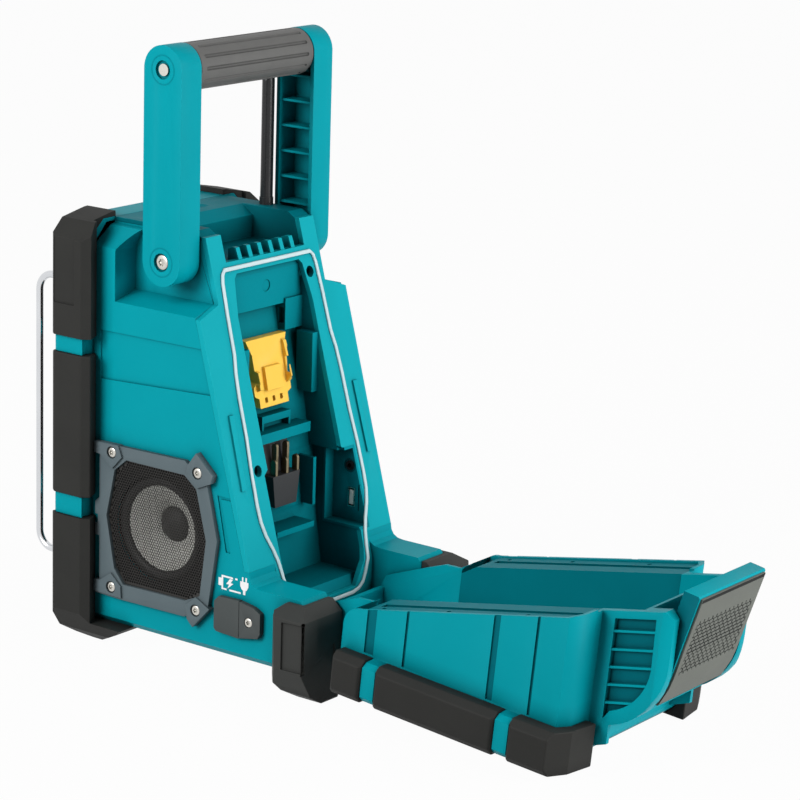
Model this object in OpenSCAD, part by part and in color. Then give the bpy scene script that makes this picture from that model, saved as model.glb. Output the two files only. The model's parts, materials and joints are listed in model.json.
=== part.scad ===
// Jobsite radio: side-firing speakers, battery bay with a drop-down rear door, fold-back carry handle.
// X runs across the radio, -Y is the control side, +Y the battery door, +Z up, Z = 0 the ground.
// Places along Y are laid out from the handle's pivot axis, and laid_out() moves them to the frame's origin,
// which is the middle of the footprint with the door lowered.

/* [Housing] */
// Width over the bumpers
width = 186; // [182:1:190]
// Height of the bumpers over the side panels
bumper_side_t = 15; // [14:0.5:16]
// Depth of the recess for each handle arm, in from the side panel
arm_room = 21; // [20.5:0.5:22]
// Step of the handle arms and of the door over the side panels
proud = 1; // [0.75:0.25:1.5]
// Wall of the moulded shells
wall = 3; // [2.5:0.25:3.5]
// Height of the underside of the housing
base_z = 17.5; // [16:0.5:18]
// Height of the top face
top_z = 298; // [297:0.5:300]
// Control face, ahead of the handle axis
front_y = 82; // [80:0.5:84]
// Depth of the front shell, from the control face to the seam
front_shell = 21; // [20:0.5:22]
// Outer edge of the ledge under the folded handle arms
ledge_z = 245; // [243:0.5:246]
// Depth of the full-width body behind the seam, in front of the handle arms
shoulder_t = 19.5; // [18:0.5:21]
// Height of the shoulders beside the door hinge
deck_z = 70; // [68:0.5:70]
// Rear end of the shoulders, behind the handle axis
deck_y = 126; // [125:0.5:128]

/* [Bezel] */
// Height at which the sloping rear bezel is measured
bezel_z = 272; // [270:0.5:273]
// Distance of the bezel behind the handle axis at that height
bezel_top_y = 26; // [25:0.5:26.5]
// Lean of the bezel from upright
bezel_tilt = 15.5; // [15.3:0.1:15.7]
// Distance of the upright lower bezel behind the handle axis
bezel_low_y = 84; // [82:0.5:85]
// Thickness of the bezel plate, along Y
bezel_t = 4; // [3:0.5:4]
// Height of the gasket over the bezel
gasket_h = 1.4; // [1:0.1:1.6]
// Width of the gasket strip
gasket_w = 2.6; // [2:0.2:3]

/* [Battery bay] */
// Half width of the upper bay
bay_x = 40; // [39:0.5:41]
// Half width of the lower bay
bay_low_x = 44; // [43:0.5:44]
// Top of the bay
bay_top = 268; // [264:0.5:268]
// Height where the bay gets wider
bay_step = 137; // [134:0.5:140]
// Floor of the bay
bay_floor = 52; // [50:0.5:54]
// Lower edge of the bay's opening in the bezel
sill_z = 45.5; // [45:0.5:47]
// Wall of the bay tray
tray_t = 2; // [1.5:0.25:2]

/* [Bumpers] */
// Thickness of the bumpers over the control face
bumper_front_t = 5; // [4:0.5:6]
// Lower edges of the top, middle and bottom front bumper segments
bumper_cuts = [218.7, 107.5, 0];
// Upper edges of the middle and bottom front bumper segments
bumper_tops = [206.9, 92.6];
// Reach of the guard bars ahead of the control face
guard_reach = 29; // [26:0.5:32]
// Diameter of the guard bars
guard_d = 5; // [4:0.5:6]

/* [Handle] */
// Height of the handle pivots
pivot_z = 278.2; // [277.5:0.1:279]
// Distance from pivot to grip axis
handle_reach = 128; // [126:0.5:130]
// Half width of an arm
arm_r = 16.2; // [15.5:0.1:16.2]
// Thickness of an arm across the radio
arm_t = 20; // [18:0.5:20.5]
// Radius of the rubber grip
grip_r = 16; // [15:0.25:16]
// Radius of the pivot bolts and of the grip's tie rod
bolt_r = 4; // [3.5:0.25:4.5]
// Radial play of shafts in their bores
play = 0.06; // [0.04:0.01:0.1]

/* [Door] */
// Distance of the door hinge ahead of the shoulders' rear end
hinge_in = 3; // [2.5:0.25:3.5]
// Height of the door hinge
hinge_z = 36.5; // [36:0.25:37]
// Angle by which the lowered door has turned from shut
door_open = 95; // [92:0.5:95.5]
// Half width of the hinge tongue
tongue_x = 50; // [49:0.25:50.2]
// Half width of the rounded top of the door
crown_x = 51; // [50:0.25:52]
// Distance of the shut door's outer face behind the hinge
door_deep = 12; // [11:0.5:13]
// Lower edge of the shut door's side walls
door_low = 70.8; // [70.6:0.1:72]
// Top of the shut door's side walls
door_high = 246.5; // [245:0.5:248]
// Top of the shut door's crown
crown_z = 295; // [294:0.5:296]
// Radius of the crown's outer corner
crown_r = 50; // [48:0.5:50.5]
// Half width of the door's inner cavity
cavity_x = 47; // [46:0.5:47]
// Angle by which the latch stands open
latch_open = 13; // [10:0.5:14]
// Wall of the door
door_t = 3; // [2.5:0.25:3.2]
// Half width of the latch lever
latch_x = 39.5; // [38:0.25:40]
// Drop of the latch below the crown's top
latch_drop = 5.5; // [5:0.25:6]

/* [Speakers] */
// Distance of the speaker axis ahead of the handle axis
speaker_y = 1.2; // [0:0.1:6]
// Height of the speaker axis
speaker_z = 93.5; // [91:0.5:94]
// Half distance between frame screws along Y
screw_y = 38.2; // [38:0.1:39]
// Half distance between frame screws along Z
screw_z = 47.9; // [47.5:0.1:48.5]
// Height of the frame over the side panel
frame_t = 5; // [4:0.5:5]
// Radius of the cone at its surround
cone_r = 31; // [30:0.5:32]

/* [Controls] */
// Half width of the control panel
panel_x = 61.5; // [58:0.5:61.5]
// Lower edge of the control panel
panel_low = 112; // [110:1:116]
// Upper edge of the control panel
panel_high = 272; // [268:1:274]
// Radius of the tuning knob
knob_r = 21; // [19:0.5:22]
// Height of the tuning knob's axis over the panel's lower edge
knob_rise = 35; // [33:0.5:37]
// Travel of the push buttons
button_travel = 1.5; // [1:0.1:1.6]

/* [Hidden] */
$fn = 64;
eps = 0.01;
bumper_x = width / 2;
side_x = bumper_x - bumper_side_t;
core_x = side_x - arm_room;
arm_x = side_x + proud;
door_x = side_x + proud;
split_y = front_y - front_shell;
recess_y = split_y - shoulder_t;
guard_y = front_y + guard_reach;
hinge_y = deck_y - hinge_in;
door_y = hinge_y + door_deep;
knob_z = panel_low + knob_rise;
teal = [0.0, 0.56, 0.62];
black = [0.2, 0.2, 0.2];
slate = [0.36, 0.4, 0.44];
steel = [0.78, 0.79, 0.8];
seat = 0.3;                         // gap between pieces of different bodies that rest together
frame_y = -145;                     // handle axis in the frame: footprint from the guard bars to the latch
bezel_run = tan(bezel_tilt);
knee_z = bezel_z - (bezel_low_y - bezel_top_y) / bezel_run;
deck_fillet = 10;                   // height of the blend from shoulder to bezel
ledge_rise = 6;                     // rise of the ledge from its outer edge to the core
tongue_gap = 1;                     // side clearance of the door's hinge tongue
recess_x = tongue_x + tongue_gap;
post_x = bumper_x - 9;              // half width of the front shell under the bumpers
chamfer_z = 14;                     // drop of the front shell's top corners
chamfer_x = 16;
tray_x = bay_low_x + tray_t;
pocket_x = 41.5;
pocket_z = 275.5;
horn_z = top_z - 3.5;
arm_in = arm_x - arm_t;
speaker_yc = -speaker_y;
crown_yc = 110 - crown_r;
crown_zc = crown_z - crown_r;
rim_gap = gasket_h + 0.5;
wall_gap = 0.3;                     // gap between bezel and the door's side walls
latch_pin_y = 84;
latch_pin_z = crown_z - 14.5;
latch_pin_r = 2;
latch_z = crown_z - latch_drop;     // outer face of the shut latch
flap_hinge_y = 74.3;
flap_y = 52.4;
clamp_y = 92.5;
dc_z = 47;
dc_y = 61;
dc_half = 13;
cover_t = 4;
antenna_stem = 1.9;

// ---------- placing and profile helpers ----------

// Surface line of the bezel: leans back above the knee and stands upright below it
function bezel_y(z) = min(bezel_low_y, bezel_top_y + (bezel_z - z) * bezel_run);
function mirrored(pts) = concat(pts, [for (i = [len(pts) - 1:-1:0]) [-pts[i][0], pts[i][1]]]);
function arc(cy, cz, r, a0, a1, n = 10) =
    [for (i = [0:n]) let(a = a0 + (a1 - a0) * i / n) [cy + r * cos(a), cz + r * sin(a)]];

module laid_out() translate([0, frame_y, 0]) children();
module side(s) mirror([s < 0 ? 1 : 0, 0, 0]) children();
module both() for (s = [-1, 1]) side(s) children();
module yz(pts, x0, x1) translate([x0, 0, 0]) rotate([90, 0, 90]) linear_extrude(x1 - x0) polygon(pts);
module xz(pts, y0, y1) translate([0, y1, 0]) rotate([90, 0, 0]) linear_extrude(y1 - y0) polygon(pts);
module xy(pts, z0, z1) translate([0, 0, z0]) linear_extrude(z1 - z0) polygon(pts);
module rod_x(y, z, r, x0, x1) translate([x0, y, z]) rotate([0, 90, 0]) cylinder(r = r, h = x1 - x0);
module rod_y(x, z, r, y0, y1) translate([x, y0, z]) rotate([-90, 0, 0]) cylinder(r = r, h = y1 - y0);
module block(x0, x1, y0, y1, z0, z1) translate([x0, y0, z0]) cube([x1 - x0, y1 - y0, z1 - z0]);

// The door's pieces are drawn shut and turned about the hinge to the lowered pose
module lowered() translate([0, hinge_y, hinge_z]) rotate([-door_open, 0, 0])
    translate([0, -hinge_y, -hinge_z]) children();
module unlatched() translate([0, latch_pin_y, latch_pin_z]) rotate([-latch_open, 0, 0])
    translate([0, -latch_pin_y, -latch_pin_z]) children();

// ---------- housing ----------

wide_outline = concat(
    [[-split_y, base_z], [deck_y - 4, base_z], [deck_y, base_z + 4], [deck_y, deck_z - 4],
        [deck_y - 3, deck_z]],
    [[bezel_y(deck_z + deck_fillet) + 11, deck_z]],
    [for (t = [0.25:0.25:0.75])
        [bezel_y(deck_z + deck_fillet) + 11 * pow(1 - t, 2), deck_z + deck_fillet * t * t]],
    [[bezel_y(deck_z + deck_fillet), deck_z + deck_fillet],
     [bezel_y(deck_z + deck_fillet) - bezel_t, deck_z + deck_fillet],
     [bezel_y(ledge_z + ledge_rise) - bezel_t, ledge_z + ledge_rise], [-recess_y, ledge_z + ledge_rise]],
    arc(-recess_y + 22, top_z - 22, 22, 180, 120, 6),
    [[-recess_y + 11, top_z], [-split_y, top_z]]);
shell_corner = [[-post_x, 0], [post_x, 0], [post_x, top_z - chamfer_z], [post_x - chamfer_x, top_z],
    [-post_x + chamfer_x, top_z], [-post_x, top_z - chamfer_z]];
side_chamfer = 17;
side_corner = mirrored([[side_x - 4.5, base_z], [side_x, base_z + 4.5], [side_x, top_z - side_chamfer],
    [side_x - side_chamfer, top_z - 5], [side_x - side_chamfer - 20, top_z]]);

module side_holes() {
    for (y = [-screw_y, screw_y], z = [-screw_z, screw_z])
        rod_x(speaker_yc + y, speaker_z + z, 1.5, side_x - wall - 9, side_x + frame_t + 1);
}

module main_housing() color(teal) laid_out() difference() {
    union() {
        intersection() {
            yz(wide_outline, -side_x, side_x);
            xz(side_corner, -split_y, deck_y);
        }
        block(-core_x, core_x, -split_y, 5, ledge_z, top_z - wall);
        yz([[0, ledge_z], [bezel_y(ledge_z) - bezel_t, ledge_z],
            [bezel_y(horn_z - wall) - bezel_t, horn_z - wall],
            [10, top_z - wall], [0, top_z - wall]], -core_x, core_x);
    }
    // ledge under the folded arms slopes up to the core
    both() xz([[core_x, ledge_z + ledge_rise], [side_x + 1, ledge_z],
        [side_x + 1, ledge_z + ledge_rise + 1], [core_x, ledge_z + ledge_rise + 1]], -recess_y, deck_y);
    // hollow of the body, open to the front shell and to the bezel
    yz([[-split_y - 1, base_z + wall], [bezel_low_y - bezel_t - wall, base_z + wall],
        [bezel_low_y - bezel_t - wall, sill_z - 4],
        [bezel_low_y - bezel_t + eps, sill_z - 4], [bezel_low_y - bezel_t + eps, knee_z],
        [bezel_y(ledge_z - wall) - bezel_t + eps, ledge_z - wall], [-split_y - 1, ledge_z - wall]],
        -side_x + wall, side_x - wall);
    yz([[-split_y - 1, ledge_z - wall - 1],
        [bezel_y(ledge_z - wall - 1) - bezel_t + eps, ledge_z - wall - 1],
        [bezel_y(top_z) - bezel_t + eps, top_z], [-split_y - 1, top_z]], -core_x + wall, core_x - wall);
    block(-side_x + wall, side_x - wall, -split_y - 1, -recess_y - wall, ledge_z - wall - 1,
        top_z - chamfer_z - wall);
    block(-core_x, core_x, -split_y - 1, bezel_y(top_z) + 1, top_z - wall, top_z + 1);
    // hollow shoulders beside the hinge, and the space of the door's hinge tongue
    both() block(recess_x + wall, side_x - wall, bezel_low_y - bezel_t - wall - 1, deck_y - wall,
        base_z + wall, deck_z - wall);
    yz([[bezel_low_y - bezel_t, 0], [bezel_low_y - bezel_t, knee_z],
        [bezel_y(deck_z + deck_fillet + 1) - bezel_t, deck_z + deck_fillet + 1],
        [deck_y + 1, deck_z + deck_fillet + 1], [deck_y + 1, 0]], -recess_x, recess_x);
    // bores for the hinge pins and the handle pivots
    both() rod_x(hinge_y, hinge_z, 2.5, recess_x - 1, recess_x + 9.5);
    both() rod_x(0, pivot_z, bolt_r, core_x - wall - 1, core_x + 1);
    // speaker cut-outs, screw holes, power inlet
    both() rod_x(speaker_yc, speaker_z, cone_r + 7, side_x - wall - 1, side_x + 1);
    both() side_holes();
    rod_x(dc_y, dc_z, 6, side_x - wall - 1, side_x + 1);
    rod_x(clamp_y - 10, dc_z, 1.5, side_x - wall - 1, side_x + 1);
    // shallow step across the side panel under the ledge
    both() yz([[-split_y + 7, 190], [60, 195.7], [60, 225.3], [-split_y + 7, 224]], side_x - 1.2,
        side_x + 1);
    // raised field beside the speaker frame
    both() yz([[59, 90], [63, 90], [54, 126], [68, 126], [68, 128], [51, 128]], side_x - 0.8, side_x + 1);
}

module front_housing() color(teal) laid_out() difference() {
    union() {
        xz(shell_corner, -front_y, -split_y);
        // teal bands between the bumper segments
        for (b = [[bumper_tops[0], bumper_cuts[0]], [bumper_tops[1], bumper_cuts[1]]])
            both() xy([[post_x - 16, -front_y - bumper_front_t + 1.5],
                [bumper_x - 4, -front_y - bumper_front_t + 1.5], [bumper_x - 2, -front_y - 1],
                [bumper_x - 2, -split_y + 2], [bumper_x - 5, -split_y], [post_x - 16, -split_y]], b[0],
                    b[1]);
    }
    // hollow, open to the main housing
    xz([[-post_x + 6, base_z + wall], [post_x - 6, base_z + wall], [post_x - 6, top_z - chamfer_z - wall],
        [post_x - 6 - chamfer_x + 3, top_z - wall],
        [-post_x + 6 + chamfer_x - 3, top_z - wall], [-post_x + 6, top_z - chamfer_z - wall]],
            -front_y + wall, -split_y + 1);
    block(-post_x - 10, post_x + 10, -front_y - 10, -split_y + 1, -1, base_z);
    // opening and seat for the control panel
    block(-panel_x, panel_x, -front_y - 1, -front_y + 2, panel_low, panel_high);
    block(-panel_x + 4, panel_x - 4, -front_y - 1, -front_y + wall + 1, panel_low + 4, panel_high - 4);
}

// Bezel plate: front view outline cut from a slab that follows the bezel line
bezel_half = [[pocket_x, pocket_z + 1], [pocket_x, horn_z], [core_x, horn_z],
    [core_x, ledge_z + ledge_rise], [core_x + 4, ledge_z + ledge_rise - 1.2],
    [side_x, ledge_z - 1], [side_x, deck_z + deck_fillet], [recess_x, deck_z + deck_fillet],
        [recess_x, base_z]];
bay_half = [[33, sill_z], [37.2, 54], [41, 61], [43.5, 70], [bay_low_x, 80], [bay_low_x, bay_step],
    [bay_x, bay_step + 3], [bay_x, bay_top - 28], [bay_x - 4, bay_top - 3], [bay_x - 7, bay_top]];
function bezel_slab(y0, y1, z0, z1) = [[bezel_y(z0) + y0, z0], [bezel_y(z0) + y1, z0],
    [bezel_low_y + y1, knee_z], [bezel_y(z1) + y1, z1], [bezel_y(z1) + y0, z1],
    [bezel_low_y + y0, knee_z]];
rib_top = 181;
rib_low = 132;
hole_r = 3.8;                       // recessed screw holes between the bay and the gasket
hole_high_x = 42.5;
hole_high_z = 258.5;
hole_low_x = 49.8;
hole_low_z = 141;

module rear_bezel() color(teal) laid_out() difference() {
    union() {
        intersection() {
            xz(mirrored(bezel_half), 0, bezel_low_y + 2);
            yz(bezel_slab(-bezel_t, 0, base_z - 1, top_z), -side_x, side_x);
        }
        // guide ribs outside the gasket
        intersection() {
            both() xz([[66, rib_low], [70.5, rib_low], [69, rib_top], [64.5, rib_top]], 0, bezel_low_y + 2);
            yz(bezel_slab(-eps, 1.6, base_z, top_z), -side_x, side_x);
        }
        bezel_fins();
    }
    xz(mirrored(bay_half), 0, bezel_low_y + 5);
    // room for the port panel, recessed screw holes
    mirror([1, 0, 0]) xz(grown(port_half, tray_t), 0, bezel_low_y + 5);
    rod_y(-hole_high_x, hole_high_z, hole_r, 0, 60);
    rod_y(hole_low_x, hole_low_z, hole_r, 30, 90);
}

gasket_half = [[29, 40.8], [36, 42.5], [41, 46.5], [43.8, 53], [46.5, 63.6], [47.6, 73], [49, 81],
    [51.9, 89.5], [56.2, 99], [58.8, 109], [59.3, 120],
    [58.8, 140], [57, 164], [56.4, 190], [55.2, 206], [53, 218], [52.2, 244], [50.9, 264], [49.3, 270],
        [45.6, 273.4]];
function shrunk(pts, d) = [for (i = [0:len(pts) - 1]) let(n = len(pts),
    a = i == 0 ? [0, pts[0][1]] : pts[i - 1], b = i == n - 1 ? [0, pts[i][1]] : pts[i + 1],
    t = (b - a) / norm(b - a)) pts[i] + d * [-t[1], t[0]]];

module bezel_gasket() color([0.72, 0.8, 0.82]) laid_out() intersection() {
    difference() {
        xz(mirrored(gasket_half), 0, bezel_low_y + 5);
        xz(mirrored(shrunk(gasket_half, gasket_w)), -1, bezel_low_y + 6);
    }
    yz(bezel_slab(0, gasket_h, 20, top_z), -side_x, side_x);
}

// Back wall of the bay, from the top down: a stepped line that leans with the bezel
bay_back = [[14, bay_top], [16, 240], [22, 205], [30, 164], [34, bay_step], [38, 95], [42, 65],
    [44, bay_floor]];
panel_back = 24;                    // upper back panel of the bay, close behind the bezel
panel_edge = 239;                   // its lower edge
column_x = 21.5;                    // raised column beside the slot
jack_y = 61.6;
jack_z = 124.1;
usb_y = 63.6;
usb_z = 101.7;
port_x = 52;                        // inner face of the port panel in the side wall
port_half = [[42, 84.5], [port_x, 84.5], [port_x, 137], [39, 137]];
function grown(pts, d) = [[pts[0][0], pts[0][1] - d], [pts[1][0] + d, pts[1][1] - d],
    [pts[2][0] + d, pts[2][1] + d], [pts[3][0], pts[3][1] + d]];

module battery_bay() color(teal) laid_out() difference() {
    union() {
        difference() {
            yz(concat([for (p = bay_back) [p[0] - tray_t,
                p[1] + (p[1] == bay_top ? tray_t : p[1] == bay_floor ? -tray_t : 0)]],
                [[bezel_low_y - bezel_t - 6, bay_floor - tray_t], [bezel_low_y - bezel_t - 6,
                    sill_z - tray_t], [bezel_low_y - bezel_t, sill_z - tray_t],
                 [bezel_low_y - bezel_t, knee_z], [bezel_y(bay_top + tray_t) - bezel_t,
                     bay_top + tray_t]]), -tray_x, tray_x);
            yz(concat([for (p = bay_back) if (p[1] <= bay_step) p],
                [[bezel_low_y - bezel_t - 4, bay_floor], [bezel_low_y - bezel_t, sill_z],
                [bezel_low_y, sill_z],
                [bezel_low_y, knee_z], [bezel_y(bay_step), bay_step]]), -bay_low_x, bay_low_x);
            yz(concat([for (p = bay_back) if (p[1] >= bay_step) p],
                [[34, bay_step - 1], [bezel_y(bay_step) + 1, bay_step - 1], [bezel_y(bay_top), bay_top]]),
                -bay_x, bay_x);
        }
        // upper back panel with the raised column on one side
        yz([[13, panel_edge], [panel_back, panel_edge], [panel_back, bay_top - 4],
            [bezel_y(bay_top) - bezel_t - 0.1, bay_top], [13, bay_top]], -bay_x - eps, bay_x + eps);
        block(-bay_x - eps, -column_x, 14, panel_back + 1.5, 220, panel_edge + 3);
        // upper shelf, slanting bar, lower shelf and side rails that guide a battery pack
        block(-15.3, 15.3, 27, 37, 162, 167);
        block(-15.3, -13.3, 27, 37, 157, 163);
        block(13.3, 15.3, 27, 37, 157, 163);
        xz([[-29.5, 150], [29.5, 150], [29.5, 157], [-29.5, 157]], 29.5, 43.4);
        block(-20, 20, 37, 56, 86, 90);
        both() block(34, bay_x + eps, 26, 40, 176, 218);
        both() block(28, 31, 34, 48, 98, 132);
        // the side wall steps out beside the ports
        mirror([1, 0, 0]) intersection() {
            xz(grown(port_half, tray_t), 45, bezel_low_y);
            yz(bezel_slab(-40, 0, base_z, top_z), tray_x - tray_t - 1, side_x);
        }
    }
    mirror([1, 0, 0]) intersection() {
        xz(port_half, 47, bezel_low_y + 5);
        yz(bezel_slab(-60, 5, base_z, top_z), 0, side_x);
    }
    rod_x(jack_y, jack_z, 5, -port_x - tray_t - 1, -port_x + 1);
    block(-port_x - tray_t - 1, -port_x + 1, usb_y - 3, usb_y + 3, usb_z - 7, usb_z + 7);
    // long groove beside the socket and the dimple above the recess
    block(-port_x - 1, -port_x + 1, usb_y + 5.6, usb_y + 7, usb_z - 9, usb_z + 10);
    rod_y(-hole_high_x, hole_high_z, hole_r, 16, 60);
    // upright slot in the side of the column, round dimple of the panel and groove of the lower shelf
    block(-column_x - 4, -column_x + 0.5, 19.5, panel_back + 0.3, 224.5, 235.5);
    rod_y(-2, bay_top - 14, 4.2, panel_back - 0.6, panel_back + 1);
    block(-16, 16, 37, 52, 87, 88.6);
}

cover_line = [[-split_y, top_z], [-22, top_z], [10, top_z], [bezel_y(horn_z) - bezel_t, horn_z]];
module top_cover() color(teal) laid_out() difference() {
    union() {
        yz(concat(cover_line, [[bezel_y(horn_z - wall) - bezel_t, horn_z - wall], [10, top_z - wall],
            [-split_y, top_z - wall]]), -core_x, core_x);
        yz([[-34, top_z - wall], [-26, pocket_z - wall], [bezel_y(pocket_z) - bezel_t, pocket_z - wall],
            [bezel_y(horn_z - wall) - bezel_t, horn_z - wall], [10, top_z - wall]],
            -pocket_x - 2.5, pocket_x + 2.5);
    }
    // pocket that the door latch hooks into, with a sloping lead-in
    yz([[-23, pocket_z], [bezel_y(pocket_z) + 1, pocket_z], [bezel_y(pocket_z) + 1, top_z + 1],
        [-31, top_z + 1], [-31, top_z], [-21, top_z - 6.5]], -pocket_x, pocket_x);
    // finger scoops on the top face
    for (x = [-12, 12]) translate([x, -46, top_z + 17.5]) sphere(r = 19);
    rod_z_hole(-52, -18, antenna_stem);
}
// Grille fins over the bezel's top edge
module bezel_fins() for (i = [0:5])
    yz([[15, pocket_z], [15, 282.7], [18.5, 284.2], [bezel_y(284.2) - 1, 284.2],
    [bezel_y(pocket_z), pocket_z]], -31.8 + 11.2 * i, -27.8 + 11.2 * i);

module rod_z_hole(x, y, r) translate([x, y, top_z - wall - 1]) cylinder(r = r, h = wall + 2);

// ---------- bumpers and guard bars ----------

bumper_plan = [[post_x - 22, -front_y - bumper_front_t], [bumper_x - 3, -front_y - bumper_front_t],
    [bumper_x, -front_y - 1.5], [bumper_x, -split_y + 2],
    [bumper_x - 4, -split_y + 8], [side_x, -split_y + 3], [side_x, -split_y], [post_x, -split_y],
        [post_x, -front_y], [post_x - 22, -front_y]];
bumper_section = [[side_x - 24, 0], [bumper_x - 22.5, 0], [bumper_x - 10, 8.5], [bumper_x, 24],
    [bumper_x, top_z - 12.5], [bumper_x - 12, top_z - 0.5], [bumper_x - 33.5, top_z + 3.6],
    [side_x - 24, top_z + 4], [side_x - 24, top_z - 14]];
foot_side = [[-100, 20], [-86, 7.5], [-79, 2.5], [-66, 0], [-58, 0], [-31.7, 13], [-26, base_z],
    [-26, base_z + 0.1],
    [-52, base_z + 0.1], [-52, top_z + 10], [-100, top_z + 10]];

module front_bumper(s, z0, z1, inset) color(black) laid_out() side(s) difference() {
    intersection() {
        union() {
            xy(bumper_plan, z0, z1);
            if (z0 == 0) block(side_x - 24, bumper_x, -front_y - bumper_front_t, -26, 0, base_z);
            if (z1 > top_z) xz([[post_x - chamfer_x, top_z], [post_x, top_z - chamfer_z],
                [bumper_x, top_z - chamfer_z], [bumper_x, top_z + 8],
                [side_x - 22, top_z + 8], [side_x - 22, top_z]], -front_y - bumper_front_t, -split_y);
        }
        xz(bumper_section, -front_y - bumper_front_t - 1, 0);
        yz(foot_side, 0, bumper_x);
    }
    xy([[bumper_x - 3, -front_y - bumper_front_t - 1], [bumper_x - 3, -front_y - bumper_front_t],
        [bumper_x, -front_y - 1.5], [bumper_x + 1, -front_y - 1.5],
            [bumper_x + 1, -front_y - bumper_front_t - 1]],
        -1, top_z + 10);
    if (inset) block(bumper_x - 1, bumper_x + 1, -front_y - 2, -split_y - 4, 241, 287);
    if (z1 > top_z) block(0, post_x, -front_y, -split_y, z0 - 1, top_z - chamfer_z);
    if (z1 > top_z) xz([[0, 0], [post_x, 0], [post_x, top_z - chamfer_z], [post_x - chamfer_x, top_z],
        [0, top_z]], -front_y, -split_y);
    guard_rod();
}

guard_z = [61, 256];
guard_bend = 12;
guard_x = 80;
module guard_rod() {
    r = guard_d / 2;
    y = -guard_y + r;
    for (z = guard_z) rod_y(guard_x, z, r, y + guard_bend, -front_y - 1);
    translate([guard_x, y, guard_z[0] + guard_bend])
        cylinder(r = r, h = guard_z[1] - guard_z[0] - 2 * guard_bend);
    for (e = [[guard_z[1] - guard_bend, 90], [guard_z[0] + guard_bend, 180]])
        translate([guard_x, y + guard_bend, e[0]]) rotate([90, 0, 90]) rotate([0, 0, e[1]])
            rotate_extrude(angle = 90) translate([guard_bend, 0]) circle(r);
}
module guard_bar(s) color(steel) laid_out() side(s) guard_rod();

foot_x = recess_x + 1;
module rear_foot(s) color(black) laid_out() side(s) difference() {
    intersection() {
        xy([[foot_x, 102], [side_x + 2, 102], [bumper_x - 7, 107.5], [bumper_x, 113.5], [bumper_x, 136],
            [bumper_x - 2, 138], [foot_x, 138]], 0, 69);
        xz([[foot_x - 5, 0], [69.5, 0], [side_x + 4, 7], [bumper_x, 25], [bumper_x, 61], [side_x + 4, 68],
            [foot_x - 5, 68]], 100, 140);
        yz([[102, 16.5], [110.5, 7.5], [116, 0], [136, 0], [138, 5], [138, 61], [130, 68], [114, 68],
            [102, 57]], 0, bumper_x);
    }
    // seat of the shoulder inside the foot
    yz([[90, base_z], [deck_y - 4, base_z], [deck_y, base_z + 4], [deck_y, 80], [90, 80]], 0, side_x);
    // framed field on the side
    yz([[119.5, 26], [139, 26.5], [139, 59.5], [119.5, 58.5]], bumper_x - 1.5, bumper_x + 1);
    // slanting step on the rear face
    xz([[54, 0], [59.5, 40], [88.5, 26], [bumper_x + 1, 26], [bumper_x + 1, 0]], 136.6, 140);
}

// ---------- speakers ----------

frame_out = [[-55.3, 139], [-55.3, 146], [-34, 146.7], [25, 147.6], [44.9, 134], [53.9, 97.5], [47, 50.7],
    [26, 38.7], [-33, 38],
    [-55.3, 38.6], [-55.3, 48], [-51.5, 48], [-51.5, 80], [-55.3, 80], [-55.3, 88.5], [-52.8, 88.5],
        [-52.8, 95], [-55.3, 95],
    [-55.3, 104], [-51.5, 107.5], [-51.5, 138.5]];
// Raised plates round the four frame screws
frame_plates = [
    [[-55.3, 146.8], [-33.5, 147.3], [-30, 139.7], [-38.8, 130.3], [-49.5, 138.5], [-55.3, 139]],
    [[36, 155], [50.5, 142], [49, 136.3], [37, 131], [26.8, 138.1], [29, 146]],
    [[37.2, 55.1], [49.2, 49.1], [34.7, 33.5], [29.8, 38.2], [28.3, 47.7]],
    [[-39.4, 55.7], [-30.5, 48], [-29.9, 39.5], [-55.3, 40], [-55.3, 48.2], [-49.5, 48.8]]];
frame_in = [[-37.7, 129.2], [-27.3, 137.9], [24.5, 137.7], [35.3, 129.6], [44.3, 95.5], [39.4, 56],
    [25.9, 49.9], [-29.4, 49.1],
    [-37.7, 59.2], [-45, 96]];

module speaker_frame(s) color(slate) laid_out() side(s) difference() {
    union() {
        yz(frame_out, side_x, side_x + frame_t - 1.6);
        for (plate = frame_plates) yz(plate, side_x, side_x + frame_t);
    }
    yz(frame_in, side_x - 1, side_x + frame_t + 1);
    side_holes();
    for (y = [-screw_y, screw_y], z = [-screw_z, screw_z]) rod_x(speaker_yc + y, speaker_z + z, 4.2,
        side_x + frame_t - 1.6, side_x + frame_t + 1);
}

module speaker_mesh(s) color([0.15, 0.15, 0.15]) laid_out() side(s) difference() {
    yz(frame_in, side_x, side_x + 1);
    for (z = [-30:12:30], y = [-30:12:30]) rod_x(speaker_yc + y, speaker_z + z, 1.5, side_x - 1,
        side_x + 2);
}

magnet_r = 20;
magnet_x = tray_x + 3;
cone_x = side_x - wall - 2;
cap_r = 12.5;
cone_depth = 12;
module speaker_basket(s) color([0.3, 0.3, 0.32]) laid_out() side(s) translate([0, speaker_yc, speaker_z])
    rotate([0, 90, 0]) rotate_extrude()
    polygon([[0, magnet_x], [magnet_r, magnet_x], [magnet_r, magnet_x + 8], [cone_r + 3, magnet_x + 8],
        [cone_r + 8, cone_x - 3], [cone_r + 12, cone_x],
        [cone_r + 12, cone_x + 2], [cone_r + 6.5, cone_x + 2], [cone_r + 6.5, cone_x],
            [cone_r + 6, cone_x - 0.8], [cone_r + 5.5, cone_x - 2], [cone_r + 1, magnet_x + 10],
            [0, magnet_x + 10]]);

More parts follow.
